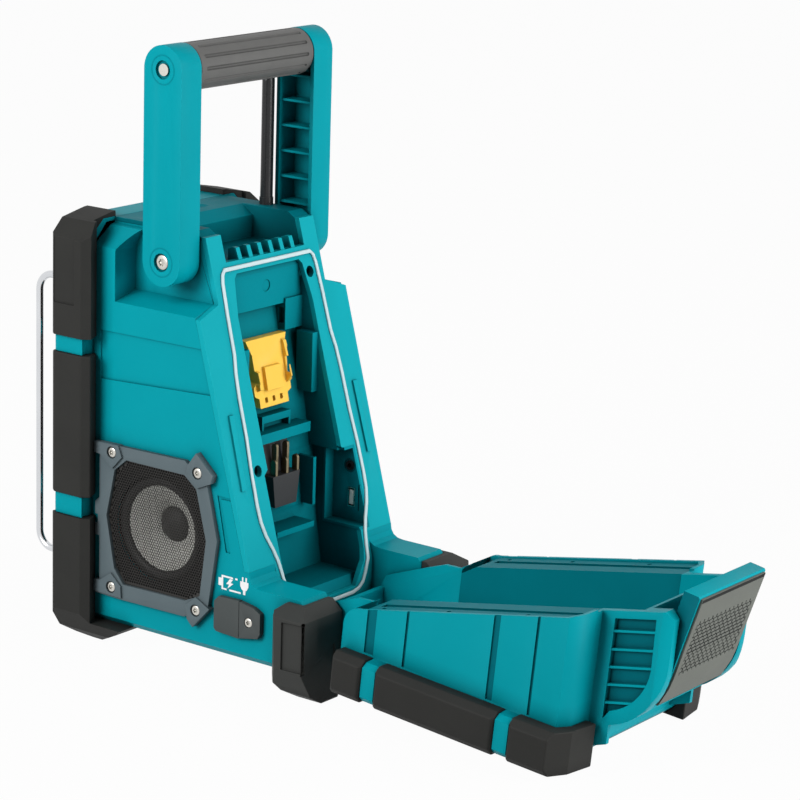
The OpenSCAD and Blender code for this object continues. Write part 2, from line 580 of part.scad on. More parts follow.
module speaker_cone(s) color([0.4, 0.4, 0.4]) laid_out() side(s) translate([0, speaker_yc, speaker_z])
    rotate([0, 90, 0]) rotate_extrude()
    polygon(concat([[0, cone_x - cone_depth + 4]],
        [for (a = [75:-15:15]) [cap_r * cos(a), cone_x - cone_depth - 2 + 6 * sin(a)]],
        [[cap_r, cone_x - cone_depth], [cone_r, cone_x]],
            [for (a = [150:-30:30]) [cone_r + 3 + 3 * cos(a), cone_x + 3 * sin(a)]],
            [[cone_r + 6, cone_x]],
        [[cone_r + 6, cone_x - 0.8], [cone_r, cone_x - 1], [cap_r, cone_x - cone_depth - 2],
            [0, cone_x - cone_depth - 2]]));

// ---------- fasteners and electrical pieces ----------

module screw(y, z, x, head) {
    difference() {
        rod_x(y, z, head, x - 1.4, x);
        translate([x - 0.9, y, z]) rotate([0, 90, 0]) cylinder(r = head * 0.45, h = 2, $fn = 6);
    }
    rod_x(y, z, 1.5, x - 12, x - 1.4);
}
module case_screws() color(steel) laid_out() {
    both() for (y = [-screw_y, screw_y], z = [-screw_z, screw_z]) screw(speaker_yc + y, speaker_z + z,
        side_x + frame_t - 0.2, 3.6);
    screw(clamp_y - 10, dc_z, side_x + cover_t + 0.2, 3.2);
}

module slide_terminal() color([1, 0.78, 0.3]) laid_out() difference() {
    intersection() {
        union() {
            yz([[20.2, 219], [26.2, 219], [35.6, 172.5], [29.2, 172.5]], -22, 22);
            // tall guide wall on one side, short one on the other
            yz([[23, 217.5], [29.5, 214.5], [37.6, 191], [34, 186], [31, 186]], -18, -14.8);
            yz([[29, 198.5], [33.5, 197.5], [36.6, 186], [33, 184]], 13.5, 17);
            yz([[29, 200], [32.8, 200], [36.2, 184], [33, 184]], -8.5, 8.5);
        }
        xz([[-21.7, 219], [-17, 209], [-16, 190], [-19.5, 187], [-19.5, 181], [-15.3, 179],
            [-15.3, 172.5], [15.3, 172.5], [15.3, 179], [19.5, 181],
            [19.5, 187], [16, 190], [17, 209], [21.7, 219]], 15, 45);
    }
    for (x = [-8, 0, 8]) block(x - 1.3, x + 1.3, 25, 45, 175.5, 179);
    // window of the tall wall
    yz([[31.5, 204], [34, 204], [36, 193], [33, 193]], -19, -14);
}

blade_front = [10, -1.5, -13];      // middles of the blades in the front and the rear row
blade_rear = [4.5, -7];
blade_slot = 1.2;

module blade_terminal() color([0.25, 0.25, 0.26]) laid_out() difference() {
    union() {
        xz([[-14.8, 126], [-11.5, 103.7], [11.5, 103.7], [14.3, 126]], 37.2, 46.7);
        yz([[35.8, 121], [34.4, 137.5], [32.7, 149.5], [34.2, 149.5], [36, 137.5], [37.5, 126],
            [39, 121]], -14.8, 13);
    }
    for (x = blade_front) block(x - blade_slot, x + blade_slot, 42, 46, 124, 127);
    for (x = blade_rear) block(x - blade_slot, x + blade_slot, 38.2, 41.7, 124, 127);
}
module contact_blades() color([0.75, 0.68, 0.5]) laid_out() {
    for (x = blade_front) block(x - blade_slot / 2, x + blade_slot / 2, 42.3, 45.7, 124, 137);
    for (x = blade_rear) block(x - blade_slot / 2, x + blade_slot / 2, 38.4, 41.5, 124, 147);
}

module aux_jack() color([0.2, 0.2, 0.2]) laid_out() difference() {
    union() {
        rod_x(jack_y, jack_z, 5, -port_x - tray_t, -port_x - 0.8);
        rod_x(jack_y, jack_z, 3.4, -port_x - 1, -port_x + 0.6);
        block(-port_x - 12, -port_x - tray_t, jack_y - 9, jack_y - 0.7, jack_z - 4.4, jack_z + 4.4);
    }
    rod_x(jack_y, jack_z, 1.8, -port_x - 2.6, -port_x + 3);
}
module usb_socket() color(steel) laid_out() difference() {
    block(-port_x - 12, -port_x + 0.3, usb_y - 3, usb_y + 3, usb_z - 7, usb_z + 7);
    block(-port_x - 10, -port_x + 1, usb_y - 2.4, usb_y - 1.6, usb_z - 6.3, usb_z + 6.3);
    block(-port_x - 10, -port_x + 1, usb_y - 1.7, usb_y + 2.4, usb_z + 5.2, usb_z + 6.3);
    block(-port_x - 10, -port_x + 1, usb_y - 1.7, usb_y + 2.4, usb_z - 6.3, usb_z - 5.2);
}
module dc_socket() color(black) laid_out() {
    difference() {
        rod_x(dc_y, dc_z, 6, side_x - wall - 12, side_x);
        rod_x(dc_y, dc_z, 4.8, side_x - 11, side_x + 1);
    }
    rod_x(dc_y, dc_z, 1, side_x - 12, side_x - 3);
}
module dc_clamp() color(black) laid_out() difference() {
    yz([[flap_hinge_y + seat, dc_z - dc_half + 0.5], [clamp_y - 2, dc_z - dc_half + 3.5],
        [clamp_y, dc_z - dc_half + 7], [clamp_y, dc_z + 8], [clamp_y - 6, dc_z + 11],
        [flap_hinge_y + seat, dc_z + dc_half]], side_x, side_x + cover_t);
    rod_x(clamp_y - 10, dc_z, 1.5, side_x - 1, side_x + 8);
    rod_x(clamp_y - 10, dc_z, 3.4, side_x + cover_t - 1.2, side_x + 8);
}
module dc_flap() color(black) laid_out() {
        yz([[flap_hinge_y, dc_z - dc_half], [flap_y + 2, dc_z - dc_half + 1],
            [flap_y, dc_z - dc_half + 3], [flap_y, dc_z + 9], [flap_y + 4, dc_z + dc_half],
            [flap_hinge_y, dc_z + dc_half + 0.5]], side_x + seat, side_x + cover_t);
        rod_x(dc_y, dc_z, 2.5, side_x - 1.5, side_x + seat + eps);
}
module antenna() color([0.12, 0.12, 0.12]) laid_out() translate([-52, -18, 0]) {
    translate([0, 0, top_z - wall - 8]) cylinder(r = antenna_stem, h = wall + 9);
    translate([0, 0, top_z]) cylinder(r = 4.9, h = 5);
    translate([0, 0, top_z + 5]) cylinder(r = 4.4, h = 82);
    translate([0, 0, top_z + 87]) cylinder(r1 = 4.4, r2 = 3.6, h = 6);
}
module main_board() color([0.1, 0.35, 0.2]) laid_out() {
    block(-panel_x + 2, panel_x - 2, -front_y + wall + 17, -front_y + wall + 18.6, panel_low + 10,
        panel_high - 10);
    for (x = [-panel_x + 9, panel_x - 9], z = [panel_low + 14, panel_high - 14])
        rod_y(x, z, 3, -front_y + 2, -front_y + wall + 17);
    block(-20, 24, -front_y + wall + 18.6, -front_y + wall + 22, button_z - 8, button_z + 26);
    rod_y(0, knob_z, 8, -front_y + wall + 3, -front_y + wall + 17);
    rod_y(0, knob_z, 3, -front_y - 10, -front_y + wall + 3);
    for (x = [-38, 38]) rod_y(x, display_z + 8, 9, -front_y + wall + 18.6, -front_y + wall + 32);
}

// ---------- controls ----------

display_z = panel_high - 40;
display_x = 43;
display_h = 22;
button_z = display_z - 44;
button_x = [for (i = [-1.5:1:1.5]) 30 * i];
button_w = 18;
button_h = 9;
button_gap = 0.3;
face_y = -front_y - 1.5;            // face of the control panel

module control_panel() color([0.22, 0.22, 0.23]) laid_out() difference() {
    block(-panel_x, panel_x, face_y, -front_y + 2, panel_low, panel_high);
    block(-display_x, display_x, face_y - 1, -front_y + 3, display_z - display_h, display_z + display_h);
    for (x = button_x) block(x - button_w / 2 - button_gap, x + button_w / 2 + button_gap, face_y - 1,
        -front_y + 3, button_z - button_h / 2 - button_gap, button_z + button_h / 2 + button_gap);
    rod_y(0, knob_z, 3.6, face_y - 1, -front_y + 3);
    rod_y(0, knob_z, knob_r + 1, face_y - 1, face_y + 1);
}
module display_lens() color([0.1, 0.12, 0.14]) laid_out()
    block(-display_x, display_x, face_y + 0.5, -front_y + 1, display_z - display_h, display_z + display_h);
module display_module() color([0.5, 0.6, 0.5]) laid_out()
    block(-display_x, display_x, -front_y + 1, -front_y + wall + 1, display_z - display_h,
        display_z + display_h);
module tuning_knob() color([0.12, 0.12, 0.12]) laid_out() difference() {
    union() {
        rod_y(0, knob_z, knob_r, face_y - 14, face_y + 1 - seat);
        for (a = [0:15:345]) translate([0, 0, knob_z]) rotate([0, a, 0])
            translate([knob_r - 0.4, face_y - 12, 0]) rotate([-90, 0, 0])
            cylinder(r = 1.2, h = 11, $fn = 16);
    }
    rod_y(0, knob_z, 3 + play, face_y - 9.5, face_y + 2);
    translate([knob_r * 0.55, face_y - 14, knob_z]) sphere(r = 3.4, $fn = 32);
}
module button(i) color([0.16, 0.16, 0.17]) laid_out() {
    x = button_x[i];
    block(x - button_w / 2, x + button_w / 2, face_y - button_travel - 0.7, -front_y + 2,
        button_z - button_h / 2, button_z + button_h / 2);
}
module power_button() button(0);
module source_button() button(1);
module preset_button_down() button(2);
module preset_button_up() button(3);

// ---------- handle ----------

bolt_head = 5.2;
bolt_rim = 1;                       // gap round a bolt's head in its recess
module stadium(r, x0, x1) {
    rod_x(0, pivot_z, r, x0, x1);
    rod_x(0, pivot_z + handle_reach, r, x0, x1);
    block(x0, x1, -r, r, pivot_z, pivot_z + handle_reach);
}
module handle_arm(s) color(teal) laid_out() side(s) difference() {
    union() {
        difference() {
            stadium(arm_r, arm_in, arm_x);
            stadium(arm_r - wall, arm_in - 1, arm_x - wall);
        }
        rod_x(0, pivot_z, arm_r - wall + eps, arm_in, arm_x - wall + eps);
        rod_x(0, pivot_z + handle_reach, arm_r - wall + eps, arm_in, arm_x - wall + eps);
        // cross ribs of the open channel
        for (i = [1:6]) block(arm_in + 2, arm_x - wall, -arm_r + wall - eps, arm_r - wall + eps,
            pivot_z + handle_reach * i / 7.2 - 0.8 + 4, pivot_z + handle_reach * i / 7.2 + 0.8 + 4);
    }
    rod_x(0, pivot_z, bolt_r + play, arm_in - 1, arm_x + 1);
    rod_x(0, pivot_z + handle_reach, bolt_r, arm_in - 1, arm_x + 1);
    for (z = [pivot_z, pivot_z + handle_reach]) rod_x(0, z, bolt_head + bolt_rim, arm_x - 2, arm_x + 1);
}
module handle_grip() color([0.3, 0.29, 0.28]) laid_out() difference() {
    rod_x(0, pivot_z + handle_reach, grip_r, -arm_in, arm_in);
    rod_x(0, pivot_z + handle_reach, bolt_r, -arm_in - 1, arm_in + 1);
    // shallow finger slots
    for (a = [0:30:330]) translate([0, 0, pivot_z + handle_reach]) rotate([a, 0, 0])
        block(-arm_in + 8, arm_in - 8, -0.9, 0.9, grip_r - 1, grip_r + 1);
}
module bolt(z, x0) {
    difference() {
        union() {
            rod_x(0, z, bolt_r, x0, arm_x - 1);
            rod_x(0, z, bolt_head, arm_x - 1.8, arm_x - 0.6);
        }
        translate([arm_x - 2.6, 0, z]) rotate([0, 90, 0]) cylinder(r = 2.2, h = 3, $fn = 6);
    }
}
module grip_tie_rod() color(steel) laid_out() both() bolt(pivot_z + handle_reach, 0);
module handle_pivots() color(steel) laid_out() both() {
    bolt(pivot_z, core_x - wall);
    rod_x(0, pivot_z, bolt_r + 4, core_x - wall - 3, core_x - wall);
}

// ---------- door ----------

corner_r = 12.5;                    // rounding of the side walls' lower corner
function rim_y(z) = bezel_y(z) + rim_gap;
function edge_y(z) = bezel_y(z) + wall_gap;
rim_z = door_low + corner_r;
wide_chamfer = 9;
door_wide = concat(arc(edge_y(rim_z) + corner_r + 0.8, rim_z, corner_r, 180, 270, 8),
    [[door_y - 5, door_low], [door_y, door_low + 5], [door_y, door_high - 6], [door_y - 6, door_high],
    [edge_y(door_high), door_high]]);
door_wide_in = [[edge_y(rim_z) - 9, rim_z], [edge_y(rim_z) + 7, door_low + door_t],
    [door_y - 6, door_low + door_t], [door_y - door_t, door_low + 7],
    [door_y - door_t, door_high - 8], [door_y - 8, door_high - door_t],
        [edge_y(door_high) - 6, door_high - door_t]];
door_front = mirrored([[door_x - wide_chamfer, 0], [door_x, 0], [door_x, door_high - 6],
    [door_x - wide_chamfer, door_high - 0.8], [crown_x + 3, door_high + 0.2],
    [crown_x - 2, door_high + 6]]);
crown_low = door_high - door_t;
crown = concat([[rim_y(crown_low), crown_low], [rim_y(crown_z - 5), crown_z - 5],
    [rim_y(crown_z - 5) + 5, crown_z]],
    arc(crown_yc, crown_zc, crown_r, 90, 0, 12), [[crown_yc + crown_r, crown_low]]);
crown_in = concat([[rim_y(door_high - 11) - 9, door_high - 11], [rim_y(crown_z) - 4, crown_z - 22]],
    arc(crown_yc, crown_zc - 8, crown_r - 14, 90, 0, 12), [[crown_yc + crown_r - 14, door_high - 11]]);
crown_pocket = concat([[rim_y(256) + 5, 256], [rim_y(285) + 5, 285]], arc(crown_yc, crown_zc, crown_r - 9,
    86, 22, 9), [[104.5, 256]]);
crown_lid = concat([[-10, crown_z - 20], [20, crown_z - 20], [48, crown_z - 17],
    [latch_pin_y, latch_pin_z - 6]], [[101, crown_z - 22], [112, crown_z - 20], [112, crown_z + 1],
    [-10, crown_z + 1]]);
tongue_r = 29;
tongue = concat([[rim_y(door_low) + 1, door_low + door_t], [rim_y(60), 60], [93.5, 43], [100.5, 28]],
    arc(hinge_y, hinge_z, tongue_r, 240, 290, 5), [[door_y, hinge_z - 20], [door_y, door_low + door_t]]);
curl_end = 258;                     // the tongue's curved wall ends here, its cheeks go on
tongue_in = concat([[rim_y(door_low) - 9, rim_z + 1], [rim_y(60) - 9, 60], [84, 43], [88, 4],
    [hinge_y + (tongue_r + 4) * cos(curl_end), hinge_z + (tongue_r + 4) * sin(curl_end)]],
    arc(hinge_y, hinge_z, tongue_r - door_t, curl_end, 290, 5), [[door_y - door_t, hinge_z - 18],
        [door_y - door_t, door_low + door_t + 1], [edge_y(rim_z) + 8, door_low + door_t + 1]]);
door_seams = [[93, 7.5], [121, 2], [188.5, 5], [219, 2]];
rib_y = [46.2, 58.4, 70.2, 82, 94];
band_z = [98, 203];                 // lower edges of the teal bands between the door's bumpers
band_h = 10.5;

module battery_door() color(teal) laid_out() lowered() difference() {
    union() {
        difference() {
            union() {
                intersection() {
                    yz(door_wide, -door_x, door_x);
                    xz(door_front, 0, 150);
                }
                intersection() {
                    yz(crown, -crown_x, crown_x);
                    xz(mirrored([[crown_x, 0], [crown_x, crown_z - 6], [crown_x - 5, crown_z]]), 0, 150);
                }
                yz(tongue, -tongue_x, tongue_x);
                // teal bands between the door's bumper segments
                both() for (z = band_z) xy([[door_x, 108.5], [bumper_x - 6, 109], [bumper_x - 2, 112],
                    [bumper_x - 2, 132], [bumper_x - 5, door_y + 0.5],
                    [door_x - 8, door_y + 0.5], [door_x - 8, 120]], z, z + band_h);
            }
            intersection() {
                yz(door_wide_in, -door_x + door_t, door_x - door_t);
                xz(mirrored([[door_x - door_t, 0], [door_x - door_t, door_high - 9],
                    [door_x - wide_chamfer - 2, door_high - 4], [crown_x, door_high - 3]]), 0, 150);
            }
            yz(crown_in, -cavity_x + 1, cavity_x - 1);
            // room for the gasket
            yz([[0, base_z], [bezel_low_y + rim_gap, base_z], [rim_y(knee_z), knee_z],
                [rim_y(door_high + 1), door_high + 1], [0, door_high + 1]], -56, 56);
            yz(tongue_in, -cavity_x, cavity_x);
            // recessed seat of the latch
            yz(crown_lid, -latch_x - 1, latch_x + 1);
            // ribbed pockets in the crown's cheeks
            both() difference() {
                yz(crown_pocket, crown_x - 3.2, crown_x + 1);
                for (y = rib_y) yz([[y - 0.8, 255], [y + 0.8, 255], [y + 0.8 - 33 * bezel_run, 288],
                    [y - 0.8 - 33 * bezel_run, 288]], crown_x - 5, crown_x - 0.4);
            }
        }
        // tabs beside the crown
        both() yz([[106, 261], [106, door_high - 1], [127, door_high - 1], [120.5, 261]], crown_x - 3,
            crown_x);
    }
    both() rod_x(hinge_y, hinge_z, 2.5 + play, cavity_x - 1, tongue_x + 1);
    both() rod_x(latch_pin_y, latch_pin_z, latch_pin_r, latch_x, latch_x + 5);
    // upright grooves in the side walls
    both() for (g = door_seams) block(door_x - 1, door_x + 1, 0, 107, g[0] - g[1] / 2, g[0] + g[1] / 2);
    // framed field in the outer face
    block(-44, 44, door_y - 1.2, door_y + 1, 92, 232);
}

// Inner tray of the door: cavity walls with a flange that closes the space beside them
liner_t = 2;
module door_liner() color(teal) laid_out() lowered() difference() {
    intersection() {
        yz([[rim_y(rim_z + 2), rim_z + 2], [rim_y(rim_z + 2) + 8, door_low + door_t],
            [door_y - 6, door_low + door_t], [door_y - door_t, door_low + 7],
            [door_y - door_t, door_high - 8],
            [door_y - 8, door_high - door_t], [rim_y(door_high - door_t), door_high - door_t]],
                -door_x + door_t, door_x - door_t);
        xz(mirrored([[door_x - door_t, 0], [door_x - door_t, door_high - 9], [door_x - wide_chamfer - 2,
            door_high - 4], [crown_x, door_high - 3], [cavity_x, door_high - 3]]), 0, 150);
        block(-door_x, door_x, 0, 150, door_low + door_t, door_high - door_t);
    }
    // cavity between the walls
    block(-cavity_x, cavity_x, 0, door_y - door_t - liner_t, 0, door_high + 10);
    // space behind the flanges
    both() yz([[rim_y(rim_z - 3) + 5, rim_z - 3], [door_y, rim_z - 8], [door_y, door_high + 10],
        [rim_y(door_high + 10) + 3, door_high + 10]], cavity_x + liner_t, door_x + 1);
    // groove along each flange and screw holes
    both() yz([[0, 90], [rim_y(90) + 1.2, 90], [rim_y(door_high) + 1.2, door_high], [0, door_high]], 60,
        66);
    both() for (z = [96, 146, 205]) rod_y(70.5, z, 1.6, 20, 100);
}

bumper_gap = 0.3;                   // gap between a door bumper and a teal band
door_in = door_y - 27.5;            // reach of the door's bumpers along Y, shut
door_out = door_y + 2;
door_bumper_plan = [[door_x, door_in + 0.5], [bumper_x - 5, door_in], [bumper_x, door_in + 4.5],
    [bumper_x, door_out - 4.5], [bumper_x - 3.5, door_out], [58, door_out], [58, door_y], [door_x, door_y]];
module door_bumper(s, z0, z1) color(black) laid_out() lowered() side(s) difference() {
    xy(door_bumper_plan, z0, z1);
    xz([[bumper_x - 3, z0 - 1], [bumper_x + 1, z0 - 1], [bumper_x + 1, z0 + 3]], 90, 140);
    xz([[bumper_x + 1, z1 + 1], [bumper_x - 3, z1 + 1], [bumper_x + 1, z1 - 3]], 90, 140);
    intersection() {
        yz(door_wide, 0, door_x);
        xz(door_front, 0, 150);
    }
}
corner_z = band_z[1] + band_h + bumper_gap;
corner_x = crown_x + 3.5;           // inner end of the corner bumper, beside the crown
corner_top = door_high + 8;
module door_bumper_corner(s) color(black) laid_out() lowered() side(s) difference() {
    intersection() {
        xz([[corner_x, corner_z], [bumper_x - 2, corner_z], [bumper_x, corner_z + 2],
            [bumper_x, corner_top - 11],
            [side_x - 1, corner_top - 3], [corner_x, corner_top]], door_in, door_out);
        xy([[corner_x, door_in], [bumper_x - 5, door_in], [bumper_x, door_in + 4.5],
            [bumper_x, door_out - 4.5],
            [bumper_x - 3.5, door_out], [corner_x, door_out]], corner_z - 1, corner_top + 1);
    }
    intersection() {
        yz(door_wide, 0, door_x);
        xz(door_front, 0, 150);
    }
    yz(crown, 0, crown_x + 0.01);
}

latch_line = [[8, latch_z], [66, latch_z], [74, latch_z - 0.6], [83, latch_z - 3.5],
    [latch_pin_y + 5, latch_z - 7]];
module latch_lever() color(teal) laid_out() lowered() unlatched() difference() {
    union() {
        yz(concat(latch_line, [[latch_pin_y + 3, latch_pin_z - 2.5], [latch_pin_y - 3, latch_pin_z - 2.5],
            [70, latch_z - 4.5], [11, latch_z - 4], [11, latch_z - 11.5], [8.5, latch_z - 11.5],
            [7, latch_z - 1]]), -latch_x, latch_x);
        // side webs
        both() yz([[8.5, latch_z - 11.5], [20, latch_z - 11.5], [48, latch_z - 11.5],
            [latch_pin_y, latch_pin_z - 3], [83, latch_z - 4], [12, latch_z - 1]], latch_x - 2.5,
            latch_x);
        rod_x(latch_pin_y, latch_pin_z, 4, -latch_x, latch_x);
    }
    rod_x(latch_pin_y, latch_pin_z, latch_pin_r + play, -latch_x - 1, latch_x + 1);
}
module latch_pad() color([0.4, 0.4, 0.4]) laid_out() lowered() unlatched()
    yz([[8.5, latch_z], [66, latch_z], [74, latch_z - 0.6], [83, latch_z - 3.5],
        [latch_pin_y + 4, latch_z - 6.1], [latch_pin_y + 4.8, latch_z - 4.6], [84, latch_z - 2],
        [74.5, latch_z + 1],
        [66, latch_z + 1.6], [8.5, latch_z + 1.6]], -latch_x + 2, latch_x - 2);
module latch_pin() color(steel) laid_out() lowered() rod_x(latch_pin_y, latch_pin_z, latch_pin_r,
    -latch_x - 4, latch_x + 4);
module door_hinge_pins() color(steel) laid_out() both()
    rod_x(hinge_y, hinge_z, 2.5, tongue_x - door_t - 1, recess_x + 9.5);

// ---------- left and right copies ----------

module bumper_top_left() front_bumper(-1, bumper_cuts[0], top_z + 8, true);
module bumper_top_right() front_bumper(1, bumper_cuts[0], top_z + 8, true);
module bumper_middle_left() front_bumper(-1, bumper_cuts[1], bumper_tops[0], false);
module bumper_middle_right() front_bumper(1, bumper_cuts[1], bumper_tops[0], false);
module bumper_foot_left() front_bumper(-1, bumper_cuts[2], bumper_tops[1], false);
module bumper_foot_right() front_bumper(1, bumper_cuts[2], bumper_tops[1], false);
module rear_foot_left() rear_foot(-1);
module rear_foot_right() rear_foot(1);
module guard_bar_left() guard_bar(-1);
module guard_bar_right() guard_bar(1);
module speaker_frame_left() speaker_frame(-1);
module speaker_frame_right() speaker_frame(1);
module speaker_mesh_left() speaker_mesh(-1);
module speaker_mesh_right() speaker_mesh(1);
module speaker_basket_left() speaker_basket(-1);
module speaker_basket_right() speaker_basket(1);
module speaker_cone_left() speaker_cone(-1);
module speaker_cone_right() speaker_cone(1);
module handle_arm_left() handle_arm(-1);
module handle_arm_right() handle_arm(1);
module door_bumper_low_left() door_bumper(-1, door_low + 2.9, band_z[0] - bumper_gap);
module door_bumper_low_right() door_bumper(1, door_low + 2.9, band_z[0] - bumper_gap);
module door_bumper_side_left() door_bumper(-1, band_z[0] + band_h + bumper_gap, band_z[1] - bumper_gap);
module door_bumper_side_right() door_bumper(1, band_z[0] + band_h + bumper_gap, band_z[1] - bumper_gap);
module door_bumper_corner_left() door_bumper_corner(-1);
module door_bumper_corner_right() door_bumper_corner(1);

main_housing();
front_housing();
rear_bezel();
battery_bay();
bezel_gasket();
top_cover();
bumper_top_left();
bumper_top_right();
bumper_middle_left();
bumper_middle_right();
bumper_foot_left();
bumper_foot_right();
rear_foot_left();
rear_foot_right();
guard_bar_left();
guard_bar_right();
speaker_frame_left();
speaker_frame_right();
speaker_mesh_left();
speaker_mesh_right();
speaker_basket_left();
speaker_basket_right();
speaker_cone_left();
speaker_cone_right();
case_screws();
slide_terminal();
blade_terminal();
contact_blades();
aux_jack();
usb_socket();
dc_socket();
dc_clamp();
antenna();
main_board();
control_panel();
display_lens();
display_module();
door_hinge_pins();
handle_pivots();
handle_arm_left();
handle_arm_right();
handle_grip();
grip_tie_rod();
battery_door();
door_liner();
door_bumper_low_left();
door_bumper_low_right();
door_bumper_side_left();
door_bumper_side_right();
door_bumper_corner_left();
door_bumper_corner_right();
latch_pin();
latch_lever();
latch_pad();
dc_flap();
tuning_knob();
power_button();
source_button();
preset_button_down();
preset_button_up();
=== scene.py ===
# %% [markdown]
# # A jobsite radio, cell by cell
# The radio is a thick teal shell with rubber corner bumpers, a carry handle that folds, and a battery door
# that drops down behind it. The solids of the frame already have the right sizes and places, so every
# cell here either finishes one of those solids or builds the visible detail that a solid can't show.

import json
import math

import bmesh
import bpy
import numpy as np
from mathutils import Matrix, Vector

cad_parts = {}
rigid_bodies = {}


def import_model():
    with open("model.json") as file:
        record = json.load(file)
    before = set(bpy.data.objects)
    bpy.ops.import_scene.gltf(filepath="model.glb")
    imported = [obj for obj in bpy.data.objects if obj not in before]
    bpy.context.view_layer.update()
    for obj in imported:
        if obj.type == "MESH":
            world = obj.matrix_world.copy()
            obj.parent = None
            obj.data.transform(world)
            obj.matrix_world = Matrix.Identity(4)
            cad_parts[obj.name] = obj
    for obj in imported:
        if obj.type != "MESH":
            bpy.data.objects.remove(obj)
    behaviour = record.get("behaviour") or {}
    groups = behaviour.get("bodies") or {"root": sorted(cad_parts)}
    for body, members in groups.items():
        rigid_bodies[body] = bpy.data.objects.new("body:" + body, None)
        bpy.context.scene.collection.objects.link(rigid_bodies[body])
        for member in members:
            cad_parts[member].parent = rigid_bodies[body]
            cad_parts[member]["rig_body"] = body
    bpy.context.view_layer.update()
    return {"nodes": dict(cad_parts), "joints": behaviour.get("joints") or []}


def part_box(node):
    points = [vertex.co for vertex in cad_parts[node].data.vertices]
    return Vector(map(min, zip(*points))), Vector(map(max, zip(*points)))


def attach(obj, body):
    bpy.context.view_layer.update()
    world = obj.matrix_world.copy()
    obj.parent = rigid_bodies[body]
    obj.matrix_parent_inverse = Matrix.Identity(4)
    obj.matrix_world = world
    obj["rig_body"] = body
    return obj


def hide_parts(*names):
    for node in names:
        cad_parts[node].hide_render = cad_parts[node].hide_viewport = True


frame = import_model()
scene = bpy.context.scene
nodes = frame["nodes"]
joints = {j["name"]: j for j in frame["joints"]}
MM = 0.001
print("solids:", len(nodes), "joints:", sorted(joints))

# %% [markdown]
# ## Reference places
# Sizes are read from the frame where possible. The handle's pivot axis is a handy reference line: it runs
# across the radio, and all places along the depth are given from it, in millimetres. Typing every place in
# metres would work too, but a maker thinks in millimetres from an axle.

# %% Reference places


def corners(node):
    """Lowest and highest corner of a solid, as arrays in millimetres."""
    low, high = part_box(node)
    return np.array(low) / MM, np.array(high) / MM


def middle(node):
    """Middle of a solid's box, in millimetres."""
    low, high = corners(node)
    return (low + high) / 2


AXIS_Y = middle("handle_pivots")[1]
PIVOT_Z = middle("handle_pivots")[2]
GRIP_Z = middle("handle_grip")[2]
ARM_FACE_X = corners("handle_arm_right")[1][0]
SIDE_X = corners("main_housing")[1][0]
print("handle axis at depth", round(AXIS_Y, 2), "height", round(PIVOT_Z, 2))


def place(points):
    """Millimetres measured from the handle axis, turned into metres of the frame."""
    moved = np.array(points, float).reshape(-1, 3) + [0, AXIS_Y, 0]
    return moved * MM


def spots_of(node):
    """Vertices of a solid, as an array in millimetres measured from the handle axis."""
    mesh = nodes[node].data
    flat = np.empty(3 * len(mesh.vertices))
    mesh.vertices.foreach_get("co", flat)
    return flat.reshape(-1, 3) / MM - [0, AXIS_Y, 0]


def handle_box(node):
    """Corners of a node in handle coordinates."""
    low, high = corners(node)
    return low - [0, AXIS_Y, 0], high - [0, AXIS_Y, 0]


# %% [markdown]
# ## Camera
# The view is the classic three-quarter product view, taken from far away with a long lens so that
# upright edges stay nearly parallel. A camera can be aimed at an object with a constraint. Here it is set
# by where it stands and by three angles, because a slight roll is part of the view.

# %% Camera
CAMERA_SPOT = (1549.68, 1287.78, 689.87)
CAMERA_TURN, CAMERA_TILT, CAMERA_ROLL = (math.radians(a) for a in (126.49, 14.40, 1.76))
LENS_MM, SENSOR_MM = 135.475, 36.0

camera_data = bpy.data.cameras.new("camera")
camera_data.lens, camera_data.sensor_width = LENS_MM, SENSOR_MM
camera_data.clip_start, camera_data.clip_end = 0.05, 30
camera = bpy.data.objects.new("camera", camera_data)
scene.collection.objects.link(camera)
scene.camera = camera

back = Vector((math.sin(CAMERA_TURN) * math.cos(CAMERA_TILT),
               -math.cos(CAMERA_TURN) * math.cos(CAMERA_TILT), math.sin(CAMERA_TILT)))
level = Vector((math.cos(CAMERA_TURN), math.sin(CAMERA_TURN), 0))
upright = back.cross(level)
right = math.cos(CAMERA_ROLL) * level + math.sin(CAMERA_ROLL) * upright
up = math.cos(CAMERA_ROLL) * upright - math.sin(CAMERA_ROLL) * level
rotation = Matrix((right, up, back)).transposed()
camera.matrix_world = Matrix.Translation(Vector(place([CAMERA_SPOT])[0])) @ rotation.to_4x4()
print("camera at", [round(v, 3) for v in camera.matrix_world.translation])

# %% [markdown]
# ## Studio
# A catalogue studio is a white room: white behind the object, white under it, and soft boxes round it.
# A strong world light would make the backdrop white but would also wash out the colours. So the world is
# dim for ordinary light and plain white only where the camera, a mirror or glass looks at it.

# %% White backdrop
world = bpy.data.worlds.new("studio")
scene.world = world
world.use_nodes = True
scene.view_settings.view_transform = "Standard"
world_tree = world.node_tree
world_tree.nodes.clear()
AMBIENT, WHITE = 0.1, 1.0


def add_node(tree, kind, **values):
    """A node of that kind, with attributes and input values set by name."""
    made = tree.nodes.new(kind)
    for name, value in values.items():
        if hasattr(made, name) and name not in made.inputs:
            setattr(made, name, value)
        else:
            made.inputs[name].default_value = value
    return made


